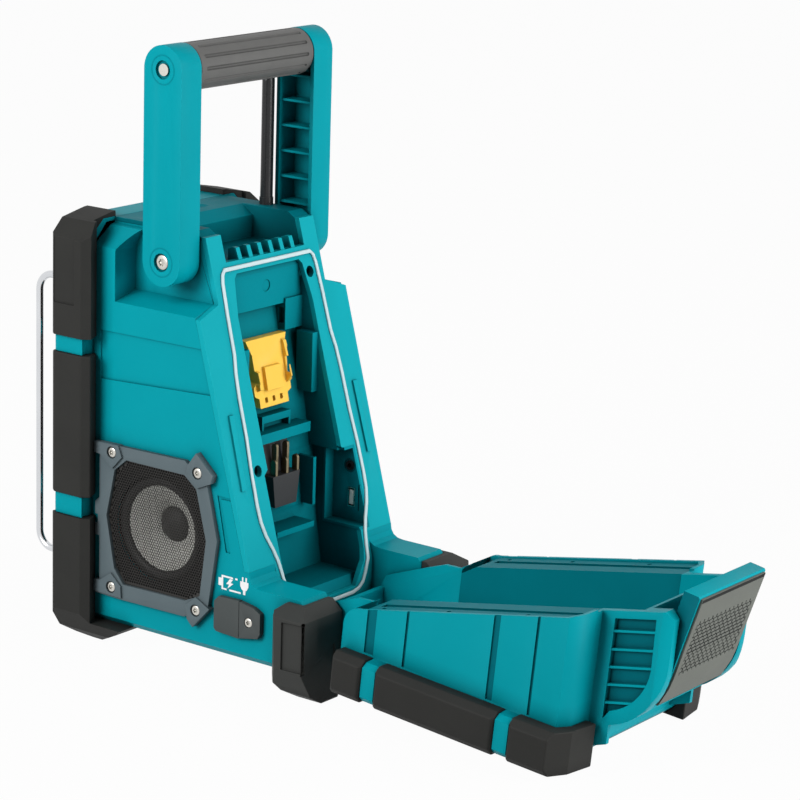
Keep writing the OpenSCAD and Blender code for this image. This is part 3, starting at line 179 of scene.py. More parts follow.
def white_for_camera(tree, lit, share=1.0):
    """Shows plain white to the camera, to gloss and to glass, and the lit shader to everything else.

    Below a share of 1 the camera sees some of the lit shader too, so a shadow stays visible."""
    path = add_node(tree, "ShaderNodeLightPath")
    mirrored_ray = add_node(tree, "ShaderNodeMath", operation="MAXIMUM")
    seen = add_node(tree, "ShaderNodeMath", operation="MULTIPLY_ADD")
    seen.inputs[1].default_value = share
    tree.links.new(path.outputs["Is Glossy Ray"], mirrored_ray.inputs[0])
    tree.links.new(path.outputs["Is Transmission Ray"], mirrored_ray.inputs[1])
    tree.links.new(path.outputs["Is Camera Ray"], seen.inputs[0])
    tree.links.new(mirrored_ray.outputs[0], seen.inputs[2])
    white = add_node(tree, "ShaderNodeBackground" if tree is world_tree else "ShaderNodeEmission",
                     Color=(1, 1, 1, 1), Strength=WHITE)
    mix = add_node(tree, "ShaderNodeMixShader")
    tree.links.new(seen.outputs[0], mix.inputs[0])
    tree.links.new(lit.outputs[0], mix.inputs[1])
    tree.links.new(white.outputs[0], mix.inputs[2])
    return mix


sky = add_node(world_tree, "ShaderNodeBackground", Color=(1, 1, 1, 1), Strength=AMBIENT)
world_out = add_node(world_tree, "ShaderNodeOutputWorld")
world_tree.links.new(white_for_camera(world_tree, sky).outputs[0], world_out.inputs[0])
print("world strength", AMBIENT, "and white", WHITE)

# %% [markdown]
# ## Lamps
# Point lamps give hard, small highlights. Moulded plastic looks best under large soft boxes: a wide panel
# stands behind the battery door's side, a smaller key box lights the speaker side, and a weak one fills
# the top.

# %% Lamps


def soft_box(name, spot, aim, size, watts):
    """A square area lamp at a spot in metres that faces an aim point."""
    lamp = bpy.data.lights.new(name, "AREA")
    lamp.energy, lamp.size = watts, size
    holder = bpy.data.objects.new(name, lamp)
    holder.location = spot
    holder.rotation_euler = (Vector(aim) - Vector(spot)).to_track_quat("-Z", "Y").to_euler()
    scene.collection.objects.link(holder)


LAMPS = [
    ("key_box", (1.5, -0.45, 0.85), (0, 0, 0.2), 0.8, 24),
    ("panel_box", (-0.4, 1.85, 0.7), (0, 0, 0.15), 1.4, 44),
    ("top_box", (0.3, 0.1, 1.8), (0, 0, 0.1), 0.9, 1),
]
for lamp_row in LAMPS:
    soft_box(*lamp_row)
print("lamps:", len(LAMPS), "with", sum(row[-1] for row in LAMPS), "watts")

# %% [markdown]
# ## Floor
# The floor is one large square that looks white like the backdrop. A fully white floor would lose the
# shadow under the radio, so the camera sees a small share of an ordinary grey diffuse shader as well.

# %% Floor
FLOOR_HALF, FLOOR_GREY, SHADOW_SHARE = 6.0, 0.5, 0.97
floor_mesh = bpy.data.meshes.new("floor")
floor_mesh.from_pydata([(-FLOOR_HALF, -FLOOR_HALF, 0), (FLOOR_HALF, -FLOOR_HALF, 0),
                        (FLOOR_HALF, FLOOR_HALF, 0), (-FLOOR_HALF, FLOOR_HALF, 0)], [], [(0, 1, 2, 3)])
floor = bpy.data.objects.new("floor", floor_mesh)
scene.collection.objects.link(floor)
floor_look = bpy.data.materials.new("floor_white")
floor_look.use_nodes = True
floor_tree = floor_look.node_tree
floor_tree.nodes.clear()
floor_grey = add_node(floor_tree, "ShaderNodeBsdfDiffuse", Color=(FLOOR_GREY, FLOOR_GREY, FLOOR_GREY, 1))
floor_out = add_node(floor_tree, "ShaderNodeOutputMaterial")
floor_tree.links.new(white_for_camera(floor_tree, floor_grey, SHADOW_SHARE).outputs[0], floor_out.inputs[0])
floor_mesh.materials.append(floor_look)
print("floor of", 2 * FLOOR_HALF, "m")

# %% [markdown]
# ## Effects that finishes share
# Moulded parts share three effects: a faint cloudy variation of the colour, a fine spark-eroded grain, and
# shade painted into hollows. Each could be repeated in every material. As node groups with named inputs
# they are built once, and a finish only chooses its own strengths.
#
# The clouds come first, because plastic from one batch is never one flat colour. A soft noise that wanders
# between two close shades is cheaper than a painted texture and has no seams.

# %% Cloudy colour


def effect(name, inputs, outputs):
    """An empty shader node group with named float or colour sockets."""
    group = bpy.data.node_groups.new(name, "ShaderNodeTree")
    for label, kind, value in inputs:
        socket = group.interface.new_socket(label, in_out="INPUT", socket_type=kind)
        socket.default_value = value
    for label, kind in outputs:
        group.interface.new_socket(label, in_out="OUTPUT", socket_type=kind)
    return group, add_node(group, "NodeGroupInput"), add_node(group, "NodeGroupOutput")


def cloudy_colour():
    """Mixes two shades by a soft noise: shade = low + noise * (high - low)."""
    group, given, out = effect(
        "cloudy_colour",
        [("Deep", "NodeSocketColor", (0, 0, 0, 1)), ("Pale", "NodeSocketColor", (1, 1, 1, 1)),
         ("Size", "NodeSocketFloat", 30.0)],
        [("Color", "NodeSocketColor")])
    where = add_node(group, "ShaderNodeTexCoord")
    noise = add_node(group, "ShaderNodeTexNoise", Detail=4.0, Roughness=0.6)
    mix = add_node(group, "ShaderNodeMix", data_type="RGBA")
    group.links.new(where.outputs["Object"], noise.inputs["Vector"])
    group.links.new(given.outputs["Size"], noise.inputs["Scale"])
    group.links.new(noise.outputs["Fac"], mix.inputs["Factor"])
    group.links.new(given.outputs["Deep"], mix.inputs[6])
    group.links.new(given.outputs["Pale"], mix.inputs[7])
    group.links.new(mix.outputs[2], out.inputs["Color"])
    return group


CLOUDY = cloudy_colour()
print("effect:", CLOUDY.name)

# %% [markdown]
# The steel mould is spark-eroded, which leaves a fine grain on every part. Real geometry for it would take
# millions of faces, so it is a bump height, and a second, coarser noise varies how dull the surface is.

# %% Moulded grain


def grain():
    """A height from fine noise, and a roughness from a coarser one: smooth + noise * (rough - smooth)."""
    group, given, out = effect(
        "moulded_grain",
        [("Scale", "NodeSocketFloat", 1800.0), ("Stretch", "NodeSocketVector", (1, 1, 1)),
         ("Smooth", "NodeSocketFloat", 0.35), ("Rough", "NodeSocketFloat", 0.5)],
        [("Height", "NodeSocketFloat"), ("Roughness", "NodeSocketFloat")])
    where = add_node(group, "ShaderNodeTexCoord")
    shape = add_node(group, "ShaderNodeVectorMath", operation="MULTIPLY")
    fine = add_node(group, "ShaderNodeTexNoise", Detail=2.0, Roughness=0.5)
    coarse = add_node(group, "ShaderNodeTexNoise", Scale=45.0, Detail=5.0, Roughness=0.65)
    spread = add_node(group, "ShaderNodeMapRange")
    group.links.new(where.outputs["Object"], shape.inputs[0])
    group.links.new(given.outputs["Stretch"], shape.inputs[1])
    group.links.new(shape.outputs[0], fine.inputs["Vector"])
    group.links.new(given.outputs["Scale"], fine.inputs["Scale"])
    group.links.new(where.outputs["Object"], coarse.inputs["Vector"])
    group.links.new(coarse.outputs["Fac"], spread.inputs["Value"])
    group.links.new(given.outputs["Smooth"], spread.inputs["To Min"])
    group.links.new(given.outputs["Rough"], spread.inputs["To Max"])
    group.links.new(fine.outputs["Fac"], out.inputs["Height"])
    group.links.new(spread.outputs["Result"], out.inputs["Roughness"])
    return group


GRAIN = grain()
print("effect:", GRAIN.name)

# %% [markdown]
# Gaps, grooves and corners look darker, because little light gets into them. Render light alone shows this
# weakly on so bright a set, so shade is painted into the colour itself where the surroundings are close.

# %% Painted shade in hollows


def painted_hollow_shade():
    """Paints shade into a colour in narrow hollows: tone = floor + (1 - floor) * openness ^ power."""
    group, given, out = effect(
        "painted_hollow_shade",
        [("Color", "NodeSocketColor", (1, 1, 1, 1)), ("Reach", "NodeSocketFloat", 0.012),
         ("Floor", "NodeSocketFloat", 0.3), ("Power", "NodeSocketFloat", 1.4)],
        [("Color", "NodeSocketColor")])
    openness = add_node(group, "ShaderNodeAmbientOcclusion", samples=6)
    bent = add_node(group, "ShaderNodeMath", operation="POWER")
    tone = add_node(group, "ShaderNodeMapRange")
    mix = add_node(group, "ShaderNodeVectorMath", operation="SCALE")
    group.links.new(given.outputs["Reach"], openness.inputs["Distance"])
    group.links.new(openness.outputs["AO"], bent.inputs[0])
    group.links.new(given.outputs["Power"], bent.inputs[1])
    group.links.new(bent.outputs[0], tone.inputs["Value"])
    group.links.new(given.outputs["Floor"], tone.inputs["To Min"])
    group.links.new(given.outputs["Color"], mix.inputs[0])
    group.links.new(tone.outputs["Result"], mix.inputs["Scale"])
    group.links.new(mix.outputs[0], out.inputs["Color"])
    return group


PAINTED_SHADE_GROUP = painted_hollow_shade()
print("effect:", PAINTED_SHADE_GROUP.name)

# %% [markdown]
# ## Finish maker
# Colours are easiest to choose as screen values from 0 to 255, and the shader wants linear light, so one
# helper converts them. Each finish is a Principled shader fed by the shared effects. Numbers that are the
# same all over a surface are set on the shader itself.

# %% Finish maker
finishes = {}
GRAIN_LIFT = 0.0002


def shade(red, green, blue):
    """Screen values turned into linear light: ((v + 0.055) / 1.055) ^ 2.4, or v / 12.92 near black."""
    v = np.array([red, green, blue]) / 255.0
    linear = np.where(v <= 0.04045, v / 12.92, ((v + 0.055) / 1.055) ** 2.4)
    return (*[float(c) for c in linear], 1.0)


def finish(name, deep, pale, rough, metal=0.0, size=30.0, scale=1800.0, stretch=(1, 1, 1), bump=0.05,
           specular=0.5, hollow_shade=0.0, reach=0.012):
    """A finish between two shades and two roughnesses; hollow_shade is how much shade is painted into
    narrow places.
    """
    look = bpy.data.materials.new(name)
    look.use_nodes = True
    tree = look.node_tree
    tree.nodes.clear()
    shader = add_node(tree, "ShaderNodeBsdfPrincipled", Metallic=metal)
    shader.inputs["Specular IOR Level"].default_value = specular
    cloudy, fine = add_node(tree, "ShaderNodeGroup"), add_node(tree, "ShaderNodeGroup")
    cloudy.node_tree, fine.node_tree = CLOUDY, GRAIN
    cloudy.inputs["Deep"].default_value, cloudy.inputs["Pale"].default_value = deep, pale
    cloudy.inputs["Size"].default_value = size
    fine.inputs["Scale"].default_value, fine.inputs["Stretch"].default_value = scale, stretch
    fine.inputs["Smooth"].default_value, fine.inputs["Rough"].default_value = rough
    relief = add_node(tree, "ShaderNodeBump", Strength=bump, Distance=GRAIN_LIFT)
    out = add_node(tree, "ShaderNodeOutputMaterial")
    # Shade painted into the base colour where the surroundings are close
    if hollow_shade:
        tone = add_node(tree, "ShaderNodeGroup")
        tone.node_tree = PAINTED_SHADE_GROUP
        tone.inputs["Floor"].default_value, tone.inputs["Reach"].default_value = 1 - hollow_shade, reach
        tree.links.new(cloudy.outputs["Color"], tone.inputs["Color"])
        tree.links.new(tone.outputs["Color"], shader.inputs["Base Color"])
    else:
        tree.links.new(cloudy.outputs["Color"], shader.inputs["Base Color"])
    tree.links.new(fine.outputs["Roughness"], shader.inputs["Roughness"])
    tree.links.new(fine.outputs["Height"], relief.inputs["Height"])
    tree.links.new(relief.outputs["Normal"], shader.inputs["Normal"])
    tree.links.new(shader.outputs[0], out.inputs[0])
    finishes[name] = look


print("a screen value of 128 is", round(shade(128, 128, 128)[0], 3), "in linear light")

# %% [markdown]
# ## Teal plastics
# The case is dyed plastic with a dull moulded skin. Its colour is strong, so the mirror share of the shader
# stays low. Walls and floors that lie in shade get the same colour painted a little deeper, with more shade
# painted into their hollows, and the bezel's rim gets it painted a little lighter, as a lit face.

# %% Teal plastics
finish("teal_shell", shade(0, 150, 163), shade(0, 157, 170), (0.4, 0.48), bump=0.12, specular=0.06,
       hollow_shade=0.75, reach=0.014)
# Teal with painted shade, for the battery bay, the jack's collar and the arm rings
finish("teal_inside", shade(0, 134, 147), shade(0, 142, 155), (0.46, 0.54), bump=0.12, specular=0.04,
       hollow_shade=0.85, reach=0.05)
# Teal with painted light, lighter as a lit face, for the bezel's rim
finish("teal_lit", shade(10, 162, 174), shade(16, 169, 181), (0.4, 0.48), bump=0.12, specular=0.06,
       hollow_shade=0.75, reach=0.014)
# Teal with more painted shade, for the door's tray and the top cover
finish("teal_mid_shade", shade(0, 116, 128), shade(0, 124, 136), (0.46, 0.54), bump=0.12, specular=0.04,
       hollow_shade=0.85, reach=0.04)
# Teal with the most painted shade, for the floors of seams and pockets and the latch's sides
finish("teal_deep_shade", shade(0, 104, 116), shade(0, 112, 124), (0.46, 0.54), bump=0.12, specular=0.04,
       hollow_shade=0.85, reach=0.01)
print("teal finishes:", len(finishes))

# %% [markdown]
# ## Rubber, slate plastic and foam
# The bumpers are near-black rubber, the rear feet and the inlet's flap a lighter compound, and the speaker
# frames hard slate-grey plastic. The grip's grain is stretched along the bar, as extruded rubber's is, and
# the sealing strip is pale foam.

# %% Rubber, slate plastic and foam
finish("bumper_rubber", shade(42, 42, 41), shade(50, 50, 48), (0.55, 0.65), bump=0.2, scale=1300,
       specular=0.1, hollow_shade=0.6)
finish("flap_rubber", shade(70, 75, 75), shade(80, 85, 85), (0.5, 0.6), bump=0.2, scale=1300,
       specular=0.15, hollow_shade=0.6)
finish("foot_rubber", shade(56, 57, 56), shade(64, 65, 63), (0.55, 0.65), bump=0.2, scale=1300,
       specular=0.1, hollow_shade=0.6)
finish("frame_slate", shade(88, 101, 106), shade(98, 111, 116), (0.42, 0.5), bump=0.15, specular=0.15,
       hollow_shade=0.6, reach=0.006)
finish("grip_rubber", shade(84, 84, 83), shade(100, 100, 98), (0.38, 0.6), bump=0.35, scale=900,
       stretch=(0.06, 1, 1), size=60, specular=0.3, hollow_shade=0.7, reach=0.004)
finish("gasket_foam", shade(190, 214, 218), shade(212, 229, 232), (0.5, 0.6), bump=0.1, specular=0.2)
print("finishes so far:", len(finishes))

# %% [markdown]
# ## Metals
# Bare metal takes its look from what it mirrors, so these finishes only differ in tint and in how rough
# they are. Painted steel, as on the grille, isn't a metal to the shader.

# %% Metals
finish("chrome_bar", shade(205, 207, 210), shade(222, 224, 227), (0.14, 0.24), metal=1.0, bump=0.02)
finish("screw_steel", shade(196, 194, 186), shade(220, 217, 209), (0.2, 0.34), metal=1.0, bump=0.03,
       hollow_shade=0.6, reach=0.003)
finish("blade_metal", shade(112, 103, 82), shade(140, 129, 104), (0.3, 0.42), metal=1.0, bump=0.03)
finish("grille_black", shade(34, 33, 31), shade(44, 42, 40), (0.35, 0.5), bump=0.02, specular=0.4)
print("finishes so far:", len(finishes))

# %% [markdown]
# ## Speaker, terminals and small parts
# Paper, rubber, coloured plastic and printed films: all of them plain, each with the sheen of its stuff.

# %% Speaker, terminals and small parts
finish("cone_paper", shade(176, 176, 170), shade(198, 198, 192), (0.7, 0.85), bump=0.3, scale=500, size=200)
finish("cone_rubber", shade(26, 26, 26), shade(34, 34, 34), (0.4, 0.55), bump=0.1, specular=0.2)
finish("yellow_plastic", shade(255, 200, 66), shade(255, 210, 92), (0.3, 0.4), bump=0.03, specular=0.25,
       hollow_shade=0.3, reach=0.004)
finish("terminal_black", shade(48, 49, 50), shade(58, 59, 61), (0.4, 0.5), bump=0.1, specular=0.2,
       hollow_shade=0.7)
finish("dark_plastic", shade(24, 24, 25), shade(32, 32, 33), (0.35, 0.45), bump=0.08, specular=0.3)
finish("pad_rubber", shade(96, 99, 94), shade(108, 111, 105), (0.5, 0.62), bump=0.2, scale=1500,
       specular=0.15)
# Darker rubber for the shade painted into the pad's grooves and on its end strips
finish("pad_shade", shade(26, 28, 28), shade(36, 38, 38), (0.6, 0.7), bump=0.2, scale=1500, specular=0.1)
finish("antenna_black", shade(28, 28, 29), shade(36, 36, 37), (0.22, 0.32), bump=0.02, specular=0.3)
finish("board_green", shade(20, 82, 52), shade(28, 98, 62), (0.35, 0.5), bump=0.05)
finish("display_glass", shade(14, 18, 20), shade(20, 26, 28), (0.04, 0.08), bump=0.0)
finish("display_grey", shade(120, 134, 118), shade(134, 148, 130), (0.3, 0.4), bump=0.0)
finish("white_print", shade(244, 246, 246), shade(252, 253, 253), (0.45, 0.55), bump=0.0, specular=0.1)
# Near-black standing for the shade deep inside the speakers: the rings behind the grilles and the baskets
finish("inside_dark", shade(10, 10, 10), shade(16, 16, 16), (0.6, 0.8), bump=0.05, specular=0.1)
finish("cap_black", shade(44, 44, 43), shade(52, 52, 50), (0.5, 0.6), bump=0.1, specular=0.2)
finish("tongue_white", shade(232, 234, 228), shade(244, 245, 240), (0.3, 0.4), bump=0.0)
print("finishes:", len(finishes))

# %% [markdown]
# ## Moulded shells
# A moulded part has no sharp edge: each corner is rounded by the tool, and the highlight along it is what
# the eye reads as plastic. Sculpting the rounds by hand would take days. Instead the solid is copied, its
# doubled points are merged, flat faces are joined, and a Bevel modifier rounds every edge that turns by
# more than a chosen angle. Large flat sides keep their crease, so that they don't shade as if they bulged.

# %% Softened copies
MERGE_DIST, FLAT_TURN, ROUND_ABOVE = 2e-6, 0.6, 28


def merged_copy(node, name, crisp=0):
    """A copy of a solid's mesh with its triangles merged; bends sharper than crisp degrees stay creased."""
    mesh = nodes[node].data.copy()
    mesh.name = name
    work = bmesh.new()
    work.from_mesh(mesh)
    bmesh.ops.remove_doubles(work, verts=work.verts, dist=MERGE_DIST)
    bmesh.ops.dissolve_limit(work, angle_limit=math.radians(FLAT_TURN), verts=work.verts, edges=work.edges,
                             use_dissolve_boundaries=False)
    for face in work.faces:
        face.smooth = True
    for edge in work.edges:
        if crisp and len(edge.link_faces) == 2 and edge.calc_face_angle(0) > math.radians(crisp):
            edge.smooth = False
    work.to_mesh(mesh)
    work.free()
    mesh.materials.clear()
    copy = bpy.data.objects.new(name, mesh)
    scene.collection.objects.link(copy)
    return copy


def body_of(node):
    """Name of the body that carries a solid."""
    return nodes[node]["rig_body"]


def soften(node, look, round_mm, steps=2, crisp=0):
    """Replaces a solid by its softened copy: sharp edges get a round of round_mm in that many steps."""
    copy = merged_copy(node, node + "_finish", crisp)
    copy.data.materials.append(finishes[look])
    rounder = copy.modifiers.new("rounded edges", "BEVEL")
    rounder.width, rounder.segments = round_mm * MM, steps
    rounder.limit_method, rounder.angle_limit = "ANGLE", math.radians(ROUND_ABOVE)
    rounder.harden_normals, rounder.miter_outer = True, "MITER_ARC"
    rounder.use_clamp_overlap = True
    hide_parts(node)
    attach(copy, body_of(node))


print("edges turning more than", ROUND_ABOVE, "degrees get a round")

# %% [markdown]
# Each shell gets its finish and the size of its rounds in millimetres. Thick outer shells are rounder than
# thin inner ones. The second table gives the bend, in degrees, past which a shell keeps a crease.

# %% Shells and bumpers
# The bezel's rim gets teal with painted light; the bay, the door's tray and the top cover teal with painted
# shade
SOFT_SHELLS = {
    "main_housing": ("teal_shell", 0.9), "front_housing": ("teal_shell", 0.9),
    "rear_bezel": ("teal_lit", 0.5), "top_cover": ("teal_mid_shade", 0.7),
    "battery_bay": ("teal_inside", 0.4), "bezel_gasket": ("gasket_foam", 0.55),
    "battery_door": ("teal_shell", 0.7), "door_liner": ("teal_mid_shade", 0.5),
    "latch_lever": ("teal_shell", 1.0), "slide_terminal": ("yellow_plastic", 0.4),
    "blade_terminal": ("terminal_black", 0.5), "control_panel": ("dark_plastic", 0.5),
    "dc_clamp": ("flap_rubber", 0.6), "dc_flap": ("flap_rubber", 0.6),
}
FLAT_SIDED = {"battery_bay": 1.5, "door_liner": 1.5, "rear_bezel": 7, "top_cover": 7, "blade_terminal": 1.5,
              "slide_terminal": 1.5, "main_housing": 9, "front_housing": 9, "control_panel": 9}
for node, (look, round_mm) in SOFT_SHELLS.items():
    soften(node, look, round_mm, crisp=FLAT_SIDED.get(node, 0))
BUMPERS = ("bumper_top_", "bumper_middle_", "bumper_foot_", "door_bumper_low_", "door_bumper_side_",
           "door_bumper_corner_")
BUMPER_ROUND, BUMPER_CREASE = 1.1, 9
for hand in ("left", "right"):
    soften("handle_arm_" + hand, "teal_shell", 1.6, steps=3)
    soften("speaker_frame_" + hand, "frame_slate", 1.4, steps=3)
    for bumper in BUMPERS:
        soften(bumper + hand, "bumper_rubber", BUMPER_ROUND, crisp=BUMPER_CREASE)
    soften("rear_foot_" + hand, "foot_rubber", BUMPER_ROUND, crisp=BUMPER_CREASE)
print("softened shells:", len(SOFT_SHELLS), "single and", 2 * (len(BUMPERS) + 3), "in pairs")

# %% [markdown]
# The seams and ribbed pockets in the door's sides are only a millimetre or so deep, and the sides of the
# latch lever stand in a narrow slot. They see little light, so shade is painted on their flat floors as a
# deeper teal. Faces are picked by the way they look and by their distance from the middle.

# %% Painted shade on floors
NEAR_LEVEL = 0.06


def paint_shade_on_floors(node, look, levels):
    """Gives a second finish, with painted shade, to the faces that look along X and lie at one of the
    levels in millimetres.
    """
    mesh = bpy.data.objects[node + "_finish"].data
    mesh.materials.append(finishes[look])
    for face in mesh.polygons:
        at = abs(face.center[0]) / MM
        if abs(face.normal[0]) > 0.99 and any(abs(at - level) < NEAR_LEVEL for level in levels):
            face.material_index = len(mesh.materials) - 1


SEAM_FLOOR_X, POCKET_FLOOR_X = ARM_FACE_X - 1, 47.8
# Painted shade on the floors of the door's seams and pockets and on the latch's sides
paint_shade_on_floors("battery_door", "teal_deep_shade", (SEAM_FLOOR_X, POCKET_FLOOR_X))
paint_shade_on_floors("latch_lever", "teal_deep_shade", (corners("latch_lever")[1][0],))
print("groove finish on flat floors at", round(SEAM_FLOOR_X, 2), "and", POCKET_FLOOR_X, "mm")

# %% [markdown]
# The four buttons in front are small dark caps. Their solids have the right shape already, so they are
# softened like the shells, and their symbols come later.

# %% Buttons
BUTTONS = ("power_button", "source_button", "preset_button_down", "preset_button_up")
for key in BUTTONS:
    soften(key, "dark_plastic", 0.8)

# %% [markdown]
# ## Solids that stay as they are
# Pins, bars, boards and glass are simple shapes with true edges. A bevel would only add faces that nobody
# sees, so they keep their own mesh and get a finish.

# %% Carried-over solids
# The speaker baskets get the near-black of painted shade
PLAIN = {
    "guard_bar_left": "chrome_bar", "guard_bar_right": "chrome_bar", "antenna": "antenna_black",
    "latch_pin": "screw_steel", "door_hinge_pins": "screw_steel", "usb_socket": "screw_steel",
    "dc_socket": "dark_plastic", "main_board": "board_green", "display_lens": "display_glass",
    "display_module": "display_grey", "speaker_basket_left": "inside_dark",
    "speaker_basket_right": "inside_dark",
}
for node, look in PLAIN.items():
    mesh = nodes[node].data
    mesh.materials.clear()
    mesh.materials.append(finishes[look])
print("carried over:", len(PLAIN))

# %% [markdown]
# ## Building from arrays
# The visible detail is computed with NumPy: a surface is a stack of rings or a grid of points, and its
# faces follow from the counting. Such a pair of points and faces is called a part here. Modelling each part
# by hand would be as quick once, but a formula can be changed in one place. Two helpers join parts and
# mirror them to the other side.

# %% Joined and mirrored parts


def joined(parts):
    """Several parts, each a pair of points and faces, as one pair."""
    points, faces, start = [], [], 0
    for part_points, part_faces in parts:
        points.append(np.asarray(part_points, float))
        faces += [[start + i for i in face] for face in part_faces]
        start += len(part_points)
    return np.vstack(points), faces


def mirrored(part):
    """The same part on the other side of the radio, with its faces turned round."""
    points, faces = part
    return np.asarray(points) * [-1, 1, 1], [list(face)[::-1] for face in faces]


print("a mirrored face runs", mirrored(([(1, 0, 0)], [(0, 1, 2)]))[1][0])

# %% [markdown]
# A part becomes a piece once it has a mesh, a finish and a body to ride on. Faces are turned outwards,
# bends sharper than a chosen angle stay crisp, and the solids that the piece stands for are hidden.

# %% Piece builder


def build(name, part, look, body, stands_for=(), sharp=35, which=None):
    """Makes the piece of a part: one finish or a list with an index per face, and the body it rides on."""
    points, faces = part
    mesh = bpy.data.meshes.new(name)
    mesh.from_pydata(place(points).tolist(), [], [list(map(int, face)) for face in faces])
    looks = [look] if isinstance(look, str) else look
    for each in looks:
        mesh.materials.append(finishes[each])
    if which is not None:
        mesh.polygons.foreach_set("material_index", np.asarray(which, np.int32))
    work = bmesh.new()
    work.from_mesh(mesh)
    bmesh.ops.recalc_face_normals(work, faces=work.faces)
    work.to_mesh(mesh)
    work.free()
    mesh.shade_smooth()
    mesh.set_sharp_from_angle(angle=math.radians(sharp))
    piece = bpy.data.objects.new(name, mesh)
    scene.collection.objects.link(piece)
    if stands_for:
        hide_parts(*stands_for)
    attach(piece, body)


print("finishes ready for pieces:", len(finishes))

# %% [markdown]
# ## Speakers
# The grille is a thin steel sheet with some 1,700 small holes in a hexagonal pattern. It could be a
# texture with see-through dots, but then no hole would have an edge that catches light. So every hole is
# real, with six sides, which is round enough at its size. First come three tools for flat outlines.

# %% Flat outlines
HALVINGS = 22


def hull_of(spots):
    """Convex outline of flat points, counter-clockwise, by the monotone chain method."""
    ordered = sorted({(round(float(a), 3), round(float(b), 3)) for a, b in spots})

    def chain(run):
        line = []
        for p in run:
            while len(line) > 1 and ((line[-1][0] - line[-2][0]) * (p[1] - line[-2][1])
                                     - (line[-1][1] - line[-2][1]) * (p[0] - line[-2][0])) <= 0:
                line.pop()
            line.append(p)
        return line[:-1]

    return np.array(chain(ordered) + chain(ordered[::-1]))


def inside_by(outline, spots):
    """Distance of points inside a convex outline from its nearest side, negative outside.

    It is the least of (point - corner) . normal over all sides."""
    ahead = np.roll(outline, -1, axis=0) - outline
    normal = np.stack([-ahead[:, 1], ahead[:, 0]], 1) / np.linalg.norm(ahead, axis=1)[:, None]
    return ((spots[..., None, :] - outline) * normal).sum(-1).min(-1)


def pulled_in(outline, spots):
    """Moves points outside a convex outline back onto it, on their line to its middle.

    The share of that line that still fits is found by halving: 22 steps leave less than a micrometre."""
    hub = outline.mean(0)
    low, high = np.zeros(len(spots)), np.ones(len(spots))
    for _ in range(HALVINGS):
        share = (low + high) / 2
        fits = inside_by(outline, hub + share[:, None] * (spots - hub)) >= 0
        low, high = np.where(fits, share, low), np.where(fits, high, share)
    return hub + low[:, None] * (spots - hub)


sheet_outline = hull_of(spots_of("speaker_mesh_right")[:, 1:])
sheet_low, sheet_high = handle_box("speaker_mesh_right")
print("corners of the sheet's outline:", len(sheet_outline))

# %% [markdown]
# One cell of the pattern is a hexagonal ring of faces round its hole, in front and behind, with the hole's
# wall between them. With the pitch p, the cells of a row are p apart and the rows p sqrt(3) / 2. Cells at
# the rim are cut back to the sheet's outline and stay blind, so that the edge has no ragged gaps.

# %% Grilles
HOLE_PITCH, HOLE_SHARE, BLIND_SHARE = 2.1, 0.47, 0.62
SHEET_REACH, SHEET_THICK = 60, 0.3


def cell_faces(outer, hole, x_back, x_front):
    """One cell: front and back ring with the wall of its hole, or a plain hexagon if it has none."""
    def lifted(ring, x):
        return np.column_stack([np.full(6, x), ring])

    turn = [(i, (i + 1) % 6) for i in range(6)]
    if hole is None:
        return (np.vstack([lifted(outer, x_front), lifted(outer, x_back)]),
                [(0, 1, 2, 3, 4, 5), (11, 10, 9, 8, 7, 6)] + [(b, a, a + 6, b + 6) for a, b in turn])
    points = np.vstack([lifted(ring, x) for x in (x_front, x_back) for ring in (outer, hole)])
    faces = [(a, b, b + 6, a + 6) for a, b in turn]
    faces += [(b + 12, a + 12, a + 18, b + 18) for a, b in turn]
    faces += [(a + 6, b + 6, b + 18, a + 18) for a, b in turn]
    faces += [(b, a, a + 12, b + 12) for a, b in turn]
    return points, faces


def perforated_sheet(outline, x_back, x_front):
    """A sheet of hexagonal cells, each with a six-sided hole: corners at 30 + 60 k degrees."""
    hub = outline.mean(0)
    span = int(SHEET_REACH / HOLE_PITCH)
    corner = np.radians(30 + 60 * np.arange(6))
    spoke = np.stack([np.cos(corner), np.sin(corner)], 1)
    parts = []
    for row in range(-span, span + 1):
        for col in range(-span, span + 1):
            spot = hub + [HOLE_PITCH * (col + 0.5 * (row % 2)), HOLE_PITCH * row * math.sqrt(3) / 2]
            depth = inside_by(outline, spot[None])[0]
            if depth < 0:
                continue
            outer = pulled_in(outline, spot + spoke * HOLE_PITCH / math.sqrt(3))
            if depth < BLIND_SHARE * HOLE_PITCH:
                parts.append(cell_faces(outer, None, x_back, x_front))
            else:
                parts.append(cell_faces(outer, spot + spoke * HOLE_PITCH * HOLE_SHARE, x_back, x_front))
    return joined(parts)


sheet = perforated_sheet(sheet_outline, sheet_high[0] - SHEET_THICK, sheet_high[0])
build("grille_right", sheet, "grille_black", "case", ["speaker_mesh_right"])
build("grille_left", mirrored(sheet), "grille_black", "case", ["speaker_mesh_left"])
print("grille faces:", len(sheet[1]))

# %% [markdown]
# Cones, screws, the grip and the knob are all round. Blender's Spin or Screw could turn a profile into each
# of them, but neither can give a ring lobes, slots or flutes. A stack of rings can, since every point of a
# ring may have its own radius. One helper makes a ring, and one lays the skin over a stack.

# %% Rings and skins


def hoop(along, radius, centre, axis="x", steps=64):
    """A ring of points round a line along an axis; the radius is one value or one per step.

    For the X axis the points are (along, y + r cos a, z + r sin a) with a from 0 to 2 pi."""
    angle = np.linspace(0, 2 * np.pi, steps, endpoint=False)
    first, second = centre[0] + radius * np.cos(angle), centre[1] + radius * np.sin(angle)
    level = np.full(steps, float(along))
    return np.stack([level, first, second] if axis == "x" else [first, level, second], 1)


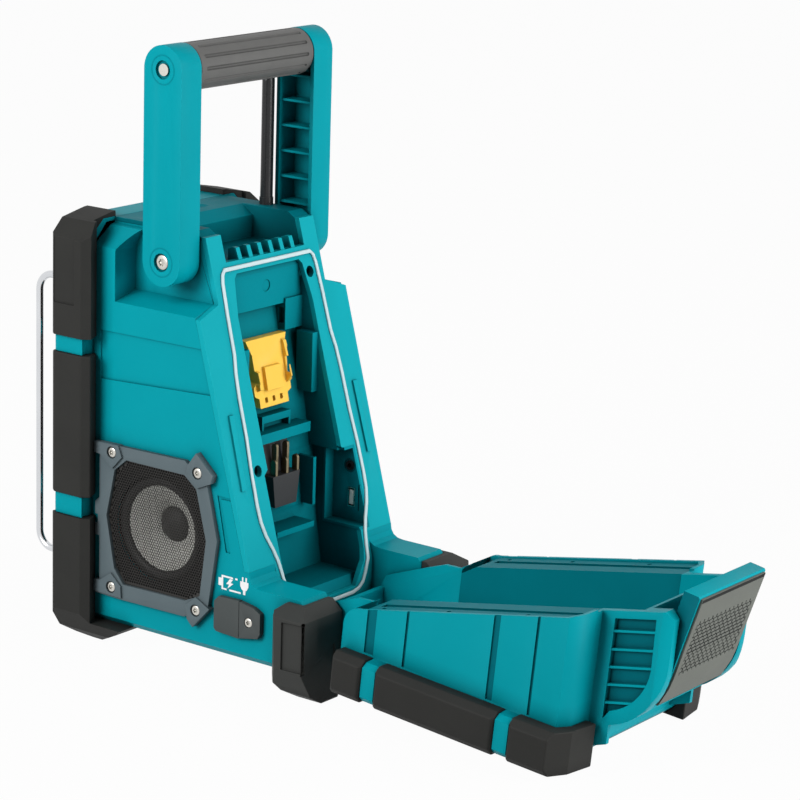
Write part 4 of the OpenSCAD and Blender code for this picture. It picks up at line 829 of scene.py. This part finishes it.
def skin(rings):
    """Closed skin over a stack of rings of equal length, with a fan over both ends."""
    stack = np.array(rings)
    count, steps = stack.shape[:2]
    points = np.vstack([stack.reshape(-1, 3), stack[0].mean(0), stack[-1].mean(0)])
    faces = [(i * steps + j, i * steps + (j + 1) % steps,
              (i + 1) * steps + (j + 1) % steps, (i + 1) * steps + j)
             for i in range(count - 1) for j in range(steps)]
    for row, hub in ((0, count * steps), (count - 1, count * steps + 1)):
        faces += [(row * steps + j, row * steps + (j + 1) % steps, hub) for j in range(steps)]
    return points, faces


print("faces of a plain tube:", len(skin([hoop(0, 1, (0, 0)), hoop(1, 1, (0, 0))])[1]))

# %% [markdown]
# Behind the sheet sits the cone: a dust cap in the middle, straight paper walls, and a rubber surround
# that rolls over to the flange. One profile from the cap to the rim gives all of it, and since the faces
# are counted ring by ring, each band can have a finish of its own.

# %% Cones
cone_low, cone_high = handle_box("speaker_cone_right")
CONE_HUB = (cone_low[1:] + cone_high[1:]) / 2
FLANGE_R = (cone_high[1] - cone_low[1]) / 2
ROLL_R = 3.0
RIM_X = cone_high[0] - ROLL_R
PAPER_R, CAP_R, CONE_DEPTH = 29.6, 12.4, 12.0
CAP_BULGE, CAP_BEHIND, CAP_RIM = 5.5, 1, 0.6


def cone_profile():
    """Rows of (x, radius, finish) from the middle of the cap to the flange and back behind.

    The cap bulges by cos(t)^1.5 at radius r sin t, the paper sinks by (1 - s)^1.15 of its depth, and the
    surround is half an ellipse: x = sin t, radius = middle - half * cos t."""
    dome = [(RIM_X - CONE_DEPTH - CAP_BEHIND + CAP_BULGE * math.cos(t) ** 1.5, CAP_R * math.sin(t), 0)
            for t in np.linspace(0.12, math.pi / 2, 8)]
    paper_start = CAP_R + CAP_RIM
    paper = [(RIM_X - CONE_DEPTH * (1 - s) ** 1.15, paper_start + (PAPER_R - CAP_R - CAP_RIM) * s, 1)
             for s in np.linspace(0, 1, 9)]
    middle_r, half = (PAPER_R + FLANGE_R) / 2, (FLANGE_R - PAPER_R) / 2
    roll = [(RIM_X + ROLL_R * math.sin(t), middle_r - half * math.cos(t), 2)
            for t in np.linspace(0.1, math.pi, 9)]
    behind = [(RIM_X - 1, FLANGE_R, 2), (RIM_X - 1.2, PAPER_R, 1), (RIM_X - CONE_DEPTH - 2, CAP_R, 1)]
    return dome + paper + roll + behind


cone_rows = cone_profile()
cone_steps = 96
cone = skin([hoop(x, r, CONE_HUB, steps=cone_steps) for x, r, _ in cone_rows])
row_look = [cone_rows[i + 1][2] for i in range(len(cone_rows) - 1)]
cone_looks = np.repeat(row_look, cone_steps).tolist() + [0] * cone_steps + [1] * cone_steps
CONE_FINISHES = ["cap_black", "cone_paper", "cone_rubber"]
build("cone_right", cone, CONE_FINISHES, "case", ["speaker_cone_right"], which=cone_looks)
build("cone_left", mirrored(cone), CONE_FINISHES, "case", ["speaker_cone_left"], which=cone_looks)
print("cone radius", round(PAPER_R, 1), "of", round(FLANGE_R, 1))

# %% [markdown]
# A near-black ring of painted shade fills the space between the cone's flange and the sheet's outline, so
# that the holes there show shade instead of what lies behind. Its inner edge is a circle. Its outer edge is
# the same circle blown up and pulled back onto the outline, which leaves one point per step on both edges.

# %% Rings of painted shade
SHADE_RING_LAP, SHADE_RING_AHEAD, SHADE_RING_THICK, BLOWN_UP = 0.4, 0.5, 0.4, 3
shade_ring_inner = hoop(sheet_low[0] + SHADE_RING_AHEAD, FLANGE_R - SHADE_RING_LAP, CONE_HUB, steps=cone_steps)
shade_ring_edge = shade_ring_inner.copy()
shade_ring_edge[:, 1:] = pulled_in(sheet_outline, CONE_HUB + (shade_ring_inner[:, 1:] - CONE_HUB) * BLOWN_UP)
shade_ring_back = [-SHADE_RING_THICK, 0, 0]
shade_ring_points = np.vstack([shade_ring_inner, shade_ring_edge, shade_ring_inner + shade_ring_back, shade_ring_edge + shade_ring_back])
turn = [(k, (k + 1) % cone_steps) for k in range(cone_steps)]
shade_ring_faces = [(a + i, b + i, b + j, a + j) for i, j in
              ((0, cone_steps), (cone_steps, 3 * cone_steps), (3 * cone_steps, 2 * cone_steps),
               (2 * cone_steps, 0)) for a, b in turn]
# Painted shade: a near-black ring behind each grille
build("shade_ring_right", (shade_ring_points, shade_ring_faces), "inside_dark", "case")
build("shade_ring_left", mirrored((shade_ring_points, shade_ring_faces)), "inside_dark", "case")
print("felt from radius", round(FLANGE_R - SHADE_RING_LAP, 1), "to the sheet's outline")

# %% [markdown]
# ## Screws
# The frame keeps all screws of a kind in one node. Each of them is a solid of its own, and its box says
# where it sits and how large its head is. The edges lead from one vertex to all others of the same solid.

# %% Separate solids of a node


def loose_parts(node):
    """Boxes of the separate solids inside one node, as pairs of corners in handle coordinates."""
    work = bmesh.new()
    work.from_mesh(nodes[node].data)
    bmesh.ops.remove_doubles(work, verts=work.verts, dist=MERGE_DIST)
    left, boxes = set(work.verts), []
    while left:
        group, front = set(), [left.pop()]
        while front:
            vert = front.pop()
            group.add(vert)
            for edge in vert.link_edges:
                other = edge.other_vert(vert)
                if other in left:
                    left.remove(other)
                    front.append(other)
        spots = np.array([v.co[:] for v in group]) / MM - [0, AXIS_Y, 0]
        boxes.append((spots.min(0), spots.max(0)))
    work.free()
    return sorted(boxes, key=lambda pair: tuple(pair[0].round(2)))


print("case screws as separate solids:", len(loose_parts("case_screws")))

# %% [markdown]
# Every visible screw has a low domed head with a six-lobed recess. A ready-made screw could be loaded, but
# a head this small only needs a few rings: shank, head, dome and recess. The recess follows the curve
# r = r0 (1 + 0.15 cos 6a), and the dome rises to it along a quarter of a circle.

# %% Six-lobed screws
HEAD_HIGH, EDGE_HIGH, DOME_HIGH, UNDERCUT = 1.4, 1.2, 0.7, 0.15
STAR_SHARE, STAR_WAVE, LOBES = 0.46, 0.15, 6
RECESS_ROWS = ((1.1, 0.94), (1.25, 0.4))
COLLAR_LONG = 3


def lobed_screw(tip, top, head_r, shank_r, centre, foot=()):
    """Skin of a screw along X: optional foot rings, shank, head, dome and the lobed recess.

    At the angle a the star has the radius s = r0 (1 + 0.15 cos 6a), and the dome s + (R - s) cos t."""
    steps = 60
    angle = np.linspace(0, 2 * np.pi, steps, endpoint=False)
    star = head_r * STAR_SHARE * (1 + STAR_WAVE * np.cos(LOBES * angle))
    rows = [(tip, shank_r), (top - HEAD_HIGH, shank_r), (top - HEAD_HIGH, head_r - UNDERCUT),
            (top - EDGE_HIGH, head_r), (top - DOME_HIGH, head_r)]
    rings = [hoop(x, r, centre, steps=steps) for x, r in list(foot) + rows]
    for t in np.linspace(0.2, 1, 5) * math.pi / 2:
        radius = star + (head_r - star) * math.cos(t)
        rings.append(hoop(top - DOME_HIGH + DOME_HIGH * math.sin(t), radius, centre, steps=steps))
    for depth, share in RECESS_ROWS:
        rings.append(hoop(top - depth, star * share, centre, steps=steps))
    return skin(rings)


def screws_for(node, head_r, shank_r, collar=None):
    """One piece with a lobed screw for each separate solid of a node."""
    parts = []
    for low, high in loose_parts(node):
        right_hand = low[0] + high[0] > 0
        centre = ((low[1] + high[1]) / 2, (low[2] + high[2]) / 2)
        inner, top = (low[0], high[0]) if right_hand else (-high[0], -low[0])
        foot = [(inner, collar), (inner + COLLAR_LONG, collar)] if collar else []
        tip = inner + (COLLAR_LONG if collar else 0)
        part = lobed_screw(tip, top, head_r or (high[1] - low[1]) / 2, shank_r, centre, foot)
        parts.append(part if right_hand else mirrored(part))
    return joined(parts)


BOLT_HEAD_R, BOLT_R, COLLAR_R, SCREW_R, SCREW_CREASE = 5.2, 4.0, 8.0, 1.5, 50
build("frame_screws", screws_for("case_screws", None, SCREW_R), "screw_steel", "case", ["case_screws"],
      sharp=SCREW_CREASE)
build("pivot_bolts", screws_for("handle_pivots", BOLT_HEAD_R, BOLT_R, COLLAR_R), "screw_steel", "case",
      ["handle_pivots"], sharp=SCREW_CREASE)
build("grip_bolts", screws_for("grip_tie_rod", BOLT_HEAD_R, BOLT_R), "screw_steel", body_of("grip_tie_rod"),
      ["grip_tie_rod"], sharp=SCREW_CREASE)
print("screws:", [len(loose_parts(n)) for n in ("case_screws", "handle_pivots", "grip_tie_rod")])

# %% [markdown]
# ## Prisms
# Blades, printed symbols and small bars have the same outline all along. Extruding a curve would do, but it
# then has to be turned into a mesh, so a helper pushes an outline along a vector, and a slab is the plain
# case of a rectangle.

# %% Prisms and slabs


def prism(outline, push):
    """Points and faces of a prism: a flat outline moved along a vector."""
    base = np.asarray(outline, float)
    n = len(base)
    faces = [list(range(n)), list(range(n, 2 * n))]
    faces += [[i, (i + 1) % n, n + (i + 1) % n, n + i] for i in range(n)]
    return np.vstack([base, base + push]), faces


def slab(low, high):
    """Points and faces of a box between two corners."""
    (x0, y0, z0), (x1, y1, z1) = low, high
    return prism([(x0, y0, z0), (x1, y0, z0), (x1, y1, z0), (x0, y1, z0)], (0, 0, z1 - z0))


print("faces of a slab:", len(slab((0, 0, 0), (1, 1, 1))[1]))

# %% [markdown]
# ## Contact blades
# The contacts of the blade terminal are stamped from springy sheet metal, and their tips are round so that
# a battery slides onto them. A bevel would only soften the corners, so the outline is drawn as it is: with
# the depth 2 h and the top at z1 it runs along (y + h cos a, z1 - h + h sin a) for a from 0 to pi.

# %% Rounded contact blades
BLADE_GROW_X, BLADE_GROW_Y = 0.45, 0.6
blades = []
for low, high in loose_parts("contact_blades"):
    half = (high[1] - low[1]) / 2 + BLADE_GROW_Y
    sweep = np.linspace(0, math.pi, 13)
    tip_y = (low[1] + high[1]) / 2 + half * np.cos(sweep)
    tip_z = high[2] - half + half * np.sin(sweep)
    outline_y = np.concatenate([[tip_y[0]], tip_y, [tip_y[-1]]])
    outline_z = np.concatenate([[low[2]], tip_z, [low[2]]])
    start_x = np.full(len(outline_y), low[0] - BLADE_GROW_X)
    blades.append(prism(np.column_stack([start_x, outline_y, outline_z]),
                        (high[0] - low[0] + 2 * BLADE_GROW_X, 0, 0)))
build("contact_set", joined(blades), "blade_metal", "case", ["contact_blades"], sharp=30)
print("contact blades:", len(blades))

# %% [markdown]
# ## Grip
# The rubber grip carries twelve long finger slots with round ends. Cutting them out of a tube would leave
# ragged faces, so the slots are part of the radius. At arc distance d from the middle of a slot and e past
# the start of its round end, it drops by depth * sqrt(1 - (d^2 + e^2) / w^2).

# %% Rubber grip
grip_low, grip_high = handle_box("handle_grip")
GRIP_R = (grip_high[1] - grip_low[1]) / 2
GRIP_HUB = ((grip_low[1] + grip_high[1]) / 2, (grip_low[2] + grip_high[2]) / 2)
SLOT_COUNT, SLOT_HALF, SLOT_DEPTH, SLOT_END = 12, 1.15, 1.2, 5.5
SHOULDER = ((0.1, 0.9), (0.9, 0.0))
END_BEFORE, END_PAST, MIDDLE_STOP = 1.3, 0.3, 3
grip_half = grip_high[0]
grip_steps = 384
arc_place = np.linspace(0, 2 * np.pi, grip_steps, endpoint=False)
slot_turn = 2 * np.pi / SLOT_COUNT
side_way = np.abs((arc_place + slot_turn / 2) % slot_turn - slot_turn / 2) * GRIP_R
slot_stop = grip_half - SLOT_END
end_rows = slot_stop + np.linspace(-END_BEFORE, END_PAST, 9)
middle_rows = np.linspace(-slot_stop + MIDDLE_STOP, slot_stop - MIDDLE_STOP, 9)
rows = np.concatenate([-end_rows[::-1], middle_rows, end_rows])


def grip_ring(x):
    """Ring of the grip at x: R - depth * sqrt(1 - (d^2 + e^2) / w^2) in a slot, and R between slots."""
    past = max(0.0, abs(x) - (slot_stop - SLOT_HALF))
    bite = 1 - (side_way ** 2 + past ** 2) / SLOT_HALF ** 2
    radius = GRIP_R - SLOT_DEPTH * np.sqrt(np.clip(bite, 0, None))
    return hoop(x, radius, GRIP_HUB, steps=grip_steps)


def shoulder(side):
    """Two plain rings that round off one end of the grip, the outermost first."""
    return [hoop(side * (grip_half - inset), GRIP_R - drop, (0, GRIP_Z), steps=grip_steps)
            for inset, drop in SHOULDER]


grip_rings = shoulder(-1) + [grip_ring(x) for x in rows] + shoulder(1)[::-1]
build("grip_sleeve", skin(grip_rings), "grip_rubber", body_of("handle_grip"), ["handle_grip"], sharp=40)
print("grip radius", round(GRIP_R, 2), "slots", SLOT_COUNT)

# %% [markdown]
# ## Latch pad
# The latch lever carries a soft pad for the fingers, moulded onto it. It is drawn with the door shut, where
# it lies flat, and then turned with the latch and the door to the rest pose. That is easier than drawing
# it aslant, because its surface is then a height over a flat grid of points.

# %% Pad in the shut position


def turned(points, joint, degrees):
    """Points in handle coordinates turned by an angle a about a joint's axis, which runs along X.

    Measured from the axis, y becomes y cos a - z sin a, and z becomes y sin a + z cos a."""
    hub = np.array(joints[joint]["pos_m"]) / MM - [0, AXIS_Y, 0]
    a = math.radians(degrees)
    y, z = points[:, 1] - hub[1], points[:, 2] - hub[2]
    return np.column_stack([points[:, 0], hub[1] + y * math.cos(a) - z * math.sin(a),
                            hub[2] + y * math.sin(a) + z * math.cos(a)])


DOOR_TURN = joints["door_swing"]["range_deg"][1]
LATCH_TURN = joints["latch_swing"]["range_deg"][1]
pad_shut = turned(turned(spots_of("latch_pad"), "latch_swing", LATCH_TURN), "door_swing", DOOR_TURN)
pad_low, pad_high = pad_shut.min(0), pad_shut.max(0)
PAD_TOP = pad_high[2]
BEND_Y = pad_low[1] + 57.5
PAD_GRID = (216, 220)
across = np.linspace(pad_low[0], pad_high[0], PAD_GRID[0])
along = np.linspace(pad_low[1], pad_high[1], PAD_GRID[1])
# Places along the pad, and how far its top has dropped there
TOP_PLACES = (pad_low[1], BEND_Y, BEND_Y + 8.5, pad_high[1] - 0.8, pad_high[1])
TOP_DROPS = (0, 0, 0.6, 3.6, 6.2)
top_line = np.interp(along, TOP_PLACES, [PAD_TOP - drop for drop in TOP_DROPS])
grid_x, grid_y = np.meshgrid(across, along)
print("pad", [round(v, 1) for v in pad_high - pad_low])

# %% [markdown]
# The middle of the pad has a raised pattern against slipping: low bars in staggered rows, each with rounded
# ends. A bump map would leave the grooves as bright as the bars from the side, so the grid of points itself
# goes up and down. Shade is painted into the grooves and on both end strips as a darker finish.

# %% Bars of the pad
WEAVE_X, WEAVE_Y, WEAVE_DEEP = 5.0, 2.9, 0.75
END_SHARE, SIDE_SHARE = 0.17, 0.24
FIELD_X, FIELD_START, FIELD_END = 33.0, pad_low[1] + 17, BEND_Y - 1
STRIP_START, STRIP_END, DARK_BELOW = 2.4, 1.6, 0.24


def weave_height(x, y):
    """Height of the pattern in mm: 0 outside the field and on the bars, down to -0.75 between them.

    With e and s the shares of the way from an end and a side of a bar, it is 0.75 (sqrt(e s) - 1)."""
    v = (y - FIELD_START) / WEAVE_Y
    u = x / WEAVE_X + 0.5 * (np.floor(v) % 2)
    from_end = np.clip(np.minimum(u % 1, 1 - u % 1) / END_SHARE, 0, 1)
    from_side = np.clip(np.minimum(v % 1, 1 - v % 1) / SIDE_SHARE, 0, 1)
    in_field = (np.abs(x) < FIELD_X) & (y > FIELD_START) & (y < FIELD_END)
    return np.where(in_field, WEAVE_DEEP * np.sqrt(from_end * from_side) - WEAVE_DEEP, 0)


pad_z = top_line[:, None] + weave_height(grid_x, grid_y)
row_middle, column_middle = (along[:-1] + along[1:]) / 2, (across[:-1] + across[1:]) / 2
cell_height = weave_height(*np.meshgrid(column_middle, row_middle))
end_strip = (row_middle < pad_low[1] + STRIP_START) | (row_middle > pad_high[1] - STRIP_END)
# Painted shade: the cells deep in the grooves and both end strips
pad_dark = (cell_height < -DARK_BELOW) | end_strip[:, None]
print("dark cells of the pad:", int(pad_dark.sum()), "of", pad_dark.size)

# %% [markdown]
# The sheet of points is closed with four thin sides and a floor. All points then go through the two turns
# in reverse, first back with the door, then with the latch.

# %% Closed pad
PAD_THICK = 1.55
cols, lines = len(across), len(along)
surface = np.stack([grid_x, grid_y, pad_z], -1).reshape(-1, 3)
base_z = top_line - PAD_THICK
rim_left = np.column_stack([np.full(lines, across[0]), along, base_z])
rim_right = np.column_stack([np.full(lines, across[-1]), along, base_z])
pad_points = np.vstack([surface, rim_left, rim_right])
left_0, right_0 = cols * lines, cols * lines + lines
pad_faces = [(r * cols + c, r * cols + c + 1, (r + 1) * cols + c + 1, (r + 1) * cols + c)
             for r in range(lines - 1) for c in range(cols - 1)]
pad_faces += [(left_0 + r, left_0 + r + 1, right_0 + r + 1, right_0 + r) for r in range(lines - 1)]
pad_faces += [(r * cols, (r + 1) * cols, left_0 + r + 1, left_0 + r) for r in range(lines - 1)]
pad_faces += [((r + 1) * cols - 1, (r + 2) * cols - 1, right_0 + r + 1, right_0 + r)
              for r in range(lines - 1)]
pad_faces += [[left_0] + list(range(cols)) + [right_0]]
pad_faces += [[left_0 + lines - 1] + list(range((lines - 1) * cols, lines * cols)) + [right_0 + lines - 1]]
pad_points = turned(turned(pad_points, "door_swing", -DOOR_TURN), "latch_swing", -LATCH_TURN)
pad_looks = pad_dark.astype(int).ravel().tolist() + [0] * (len(pad_faces) - pad_dark.size)
build("woven_pad", (pad_points, pad_faces), ["pad_rubber", "pad_shade"], body_of("latch_pad"),
      ["latch_pad"], sharp=50, which=pad_looks)
print("pad faces:", len(pad_faces))

# %% [markdown]
# ## Ports
# A USB socket is a folded steel shell round a white plastic tongue. The jack is a collar round a dark bore.
# The shell and the collar come from the solids, so only the tongue is added, as a small block, and the
# collar's faces are told apart by their distance from its middle.

# %% Ports
TONGUE_LONG, TONGUE_AHEAD, TONGUE_SIDES, TONGUE_INSET = 6, 0.1, (1.5, 4.6), 1.9
JACK_R, JACK_BORE_R = 5, 4.2
usb_low, usb_high = handle_box("usb_socket")
tongue = slab((usb_high[0] - TONGUE_LONG, usb_low[1] + TONGUE_SIDES[0], usb_low[2] + TONGUE_INSET),
              (usb_high[0] + TONGUE_AHEAD, usb_low[1] + TONGUE_SIDES[1], usb_high[2] - TONGUE_INSET))
build("usb_tongue", tongue, "tongue_white", "case")
jack = merged_copy("aux_jack", "jack_ring")
jack_low, jack_high = handle_box("aux_jack")
jack_hub = np.array([0, jack_high[1] - JACK_R, (jack_low[2] + jack_high[2]) / 2])
# The collar gets teal with painted shade, the bore dark plastic
for look in ("teal_inside", "dark_plastic"):
    jack.data.materials.append(finishes[look])
for face in jack.data.polygons:
    spots = np.array([jack.data.vertices[i].co[:] for i in face.vertices]) / MM - [0, AXIS_Y, 0] - jack_hub
    face.material_index = int(np.hypot(spots[:, 1], spots[:, 2]).max() < JACK_BORE_R)
    face.use_smooth = False
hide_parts("aux_jack")
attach(jack, "case")
print("dark faces of the jack:", sum(face.material_index for face in jack.data.polygons))

# %% [markdown]
# ## Marks
# Printed symbols are a film of paint, and the rings round the handle's bolts are moulded a little proud. A
# texture on the surface would need the shell laid out flat first. Here each mark is a flat outline pushed
# out by about a tenth of a millimetre, so its edge stays sharp from near by.

# %% Mark shapes
FILM = 0.12


def bar(u0, u1, w0, w1):
    """Corners of an upright rectangle in a mark's own flat coordinates."""
    return [(u0, w0), (u1, w0), (u1, w1), (u0, w1)]


def arc_band(hub, radius, width, start, stop, steps=28):
    """A bent strip between two angles in degrees: at r + w / 2 one way, and at r - w / 2 back."""
    a = np.radians(np.linspace(start, stop, steps))
    ring = [np.column_stack([hub[0] + r * np.cos(a), hub[1] + r * np.sin(a)]) for r in
            (radius + width / 2, radius - width / 2)]
    return np.vstack([ring[0], ring[1][::-1]]).tolist()


def side_mark(outlines, x, y, z):
    """Films on the right side panel from flat outlines with their corner at (y, z)."""
    return joined([prism([(x, y + u, z + w) for u, w in outline], (FILM, 0, 0)) for outline in outlines])


print("film thickness", FILM, "mm")

# %% [markdown]
# Beside the inlet's flap are two symbols: a battery with a flash, and a plug on its cord. They are drawn
# as plain bars and two many-sided outlines, in millimetres from their lower corner. The rings stop just
# short of a full turn, so that their outline doesn't touch itself.

# %% Side symbols and arm rings
RING_R, RING_WIDE, RING_STOP = 9.6, 0.7, 359.9
CHARGE_Y, CHARGE_Z = 53.2, 63.8
BATTERY_AND_PLUG = [
    bar(0, 2.6, 2.6, 8.0), bar(2.6, 4.0, 0.2, 10.2), bar(4.0, 12.4, 9.0, 10.2), bar(14.4, 16.4, 9.0, 10.2),
    bar(4.0, 7.0, 0.2, 1.4), bar(9.4, 19.4, 0.2, 1.4),
    [(9.8, 8.6), (6.6, 4.6), (9.0, 4.6), (7.8, 1.6), (12.8, 5.8), (10.4, 5.8), (12.4, 8.6)],
    [(18.8, 9.2), (18.8, 6.0), (20.2, 3.6), (21.3, 3.0), (21.3, 0.2), (23.3, 0.2), (23.3, 3.0), (24.4, 3.6),
     (25.8, 6.0), (25.8, 9.2)],
    bar(20.2, 21.4, 9.2, 12.2), bar(23.2, 24.4, 9.2, 12.2),
]

rings = [prism([(ARM_FACE_X, y, z) for y, z in arc_band((0, hub_z), RING_R, RING_WIDE, 0, RING_STOP, 60)],
               (FILM, 0, 0)) for hub_z in (PIVOT_Z, GRIP_Z)]
# The rings are teal with painted shade
build("arm_rings_right", joined(rings), "teal_inside", body_of("handle_arm_right"), sharp=20)
build("arm_rings_left", mirrored(joined(rings)), "teal_inside", body_of("handle_arm_left"), sharp=20)
build("charge_mark", side_mark(BATTERY_AND_PLUG, SIDE_X, CHARGE_Y, CHARGE_Z), "white_print", "case",
      sharp=20)
print("outlines in the side symbols:", len(BATTERY_AND_PLUG))

# %% [markdown]
# ## Control side
# The front carries a display, four buttons and a large tuning knob. The knob is a stack of rings like the
# cone, and its edge is fluted for grip: r = R + 0.55 cos 28a along its side, fading out towards the front
# face. Its pointer is a thin raised bar.

# %% Tuning knob
KNOB_INSET, FLUTES, FLUTE_DEEP = 0.8, 28, 0.55
POINTER_HALF, POINTER_LEVELS, POINTER_SPAN = 0.7, (13.45, 13.1), (0.76, 0.9)
knob_low, knob_high = handle_box("tuning_knob")
KNOB_HUB = ((knob_low[0] + knob_high[0]) / 2, (knob_low[2] + knob_high[2]) / 2)
KNOB_R = (knob_high[0] - knob_low[0]) / 2 - KNOB_INSET
knob_steps = 336
knob_angle = np.linspace(0, 2 * np.pi, knob_steps, endpoint=False)
flute = FLUTE_DEEP * np.cos(FLUTES * knob_angle)
KNOB_ROWS = [(-0.2, 0.98, 0), (-1.4, 1.0, 1), (-11.5, 0.95, 1), (-12.8, 0.92, 0.3), (-13.3, 0.88, 0),
             (-13.2, 0.8, 0), (-12.2, 0.72, 0), (-11.9, 0.3, 0)]
knob_back = knob_high[1]
knob_rings = [hoop(knob_back + dy, KNOB_R * share + wave * flute, KNOB_HUB, "y", knob_steps)
              for dy, share, wave in KNOB_ROWS]
build("knob_cap", skin(knob_rings), "dark_plastic", body_of("tuning_knob"), ["tuning_knob"], sharp=60)
pointer_low, pointer_high = (KNOB_HUB[1] + KNOB_R * share for share in POINTER_SPAN)
pointer = slab((KNOB_HUB[0] - POINTER_HALF, knob_back - POINTER_LEVELS[0], pointer_low),
               (KNOB_HUB[0] + POINTER_HALF, knob_back - POINTER_LEVELS[1], pointer_high))
build("knob_pointer", pointer, "white_print", body_of("tuning_knob"), sharp=20)
print("knob radius", round(KNOB_R, 2), "with", FLUTES, "flutes")

# %% [markdown]
# The buttons carry the usual symbols: on and off, play for the source, and two triangles for down and up.
# Round the knob stands a scale of 21 ticks, 15 degrees apart, and every fifth tick is longer. A tick is a
# bar above the middle, turned by a: (u cos a - w sin a, u sin a + w cos a).

# %% Button marks and dial
TICK_HALF, TICK_START, TICK_STOP, TICK_MORE = 0.35, 3.2, 5.2, 2
TICK_COUNT, DIAL_START, DIAL_STEP = 21, -150, 15
panel_front = handle_box("control_panel")[0][1]


def front_mark(outlines, hub, y):
    """Films on a face that looks along -Y, from flat outlines round a middle point (x, z)."""
    return joined([prism([(hub[0] - u, y, hub[1] + w) for u, w in outline], (0, -FILM, 0))
                   for outline in outlines])


MARKS = {
    "power_button": [arc_band((0, 0), 2.6, 0.6, 120, 420), bar(-0.3, 0.3, 0.8, 3.6)],
    "source_button": [arc_band((0, 0), 2.8, 0.6, 0, 360), [(-0.9, -1.4), (1.5, 0), (-0.9, 1.4)]],
    "preset_button_down": [[(2.2, -2.4), (2.2, 2.4), (-2.0, 0)]],
    "preset_button_up": [[(-2.2, -2.4), (2.0, 0), (-2.2, 2.4)]],
}
for key, outlines in MARKS.items():
    low, high = handle_box(key)
    hub = ((low[0] + high[0]) / 2, (low[2] + high[2]) / 2)
    build(key + "_mark", front_mark(outlines, hub, low[1]), "white_print", body_of(key), sharp=20)
dial = []
for k in range(TICK_COUNT):
    stop = KNOB_R + TICK_STOP + (TICK_MORE if k % 5 == 0 else 0)
    tick = bar(-TICK_HALF, TICK_HALF, KNOB_R + TICK_START, stop)
    a = math.radians(DIAL_START + DIAL_STEP * k)
    dial.append([(u * math.cos(a) - w * math.sin(a), u * math.sin(a) + w * math.cos(a)) for u, w in tick])
build("dial_marks", front_mark(dial, KNOB_HUB, panel_front), "white_print", "case", sharp=20)
print("marks:", len(MARKS) + 1, "with", len(dial), "ticks")
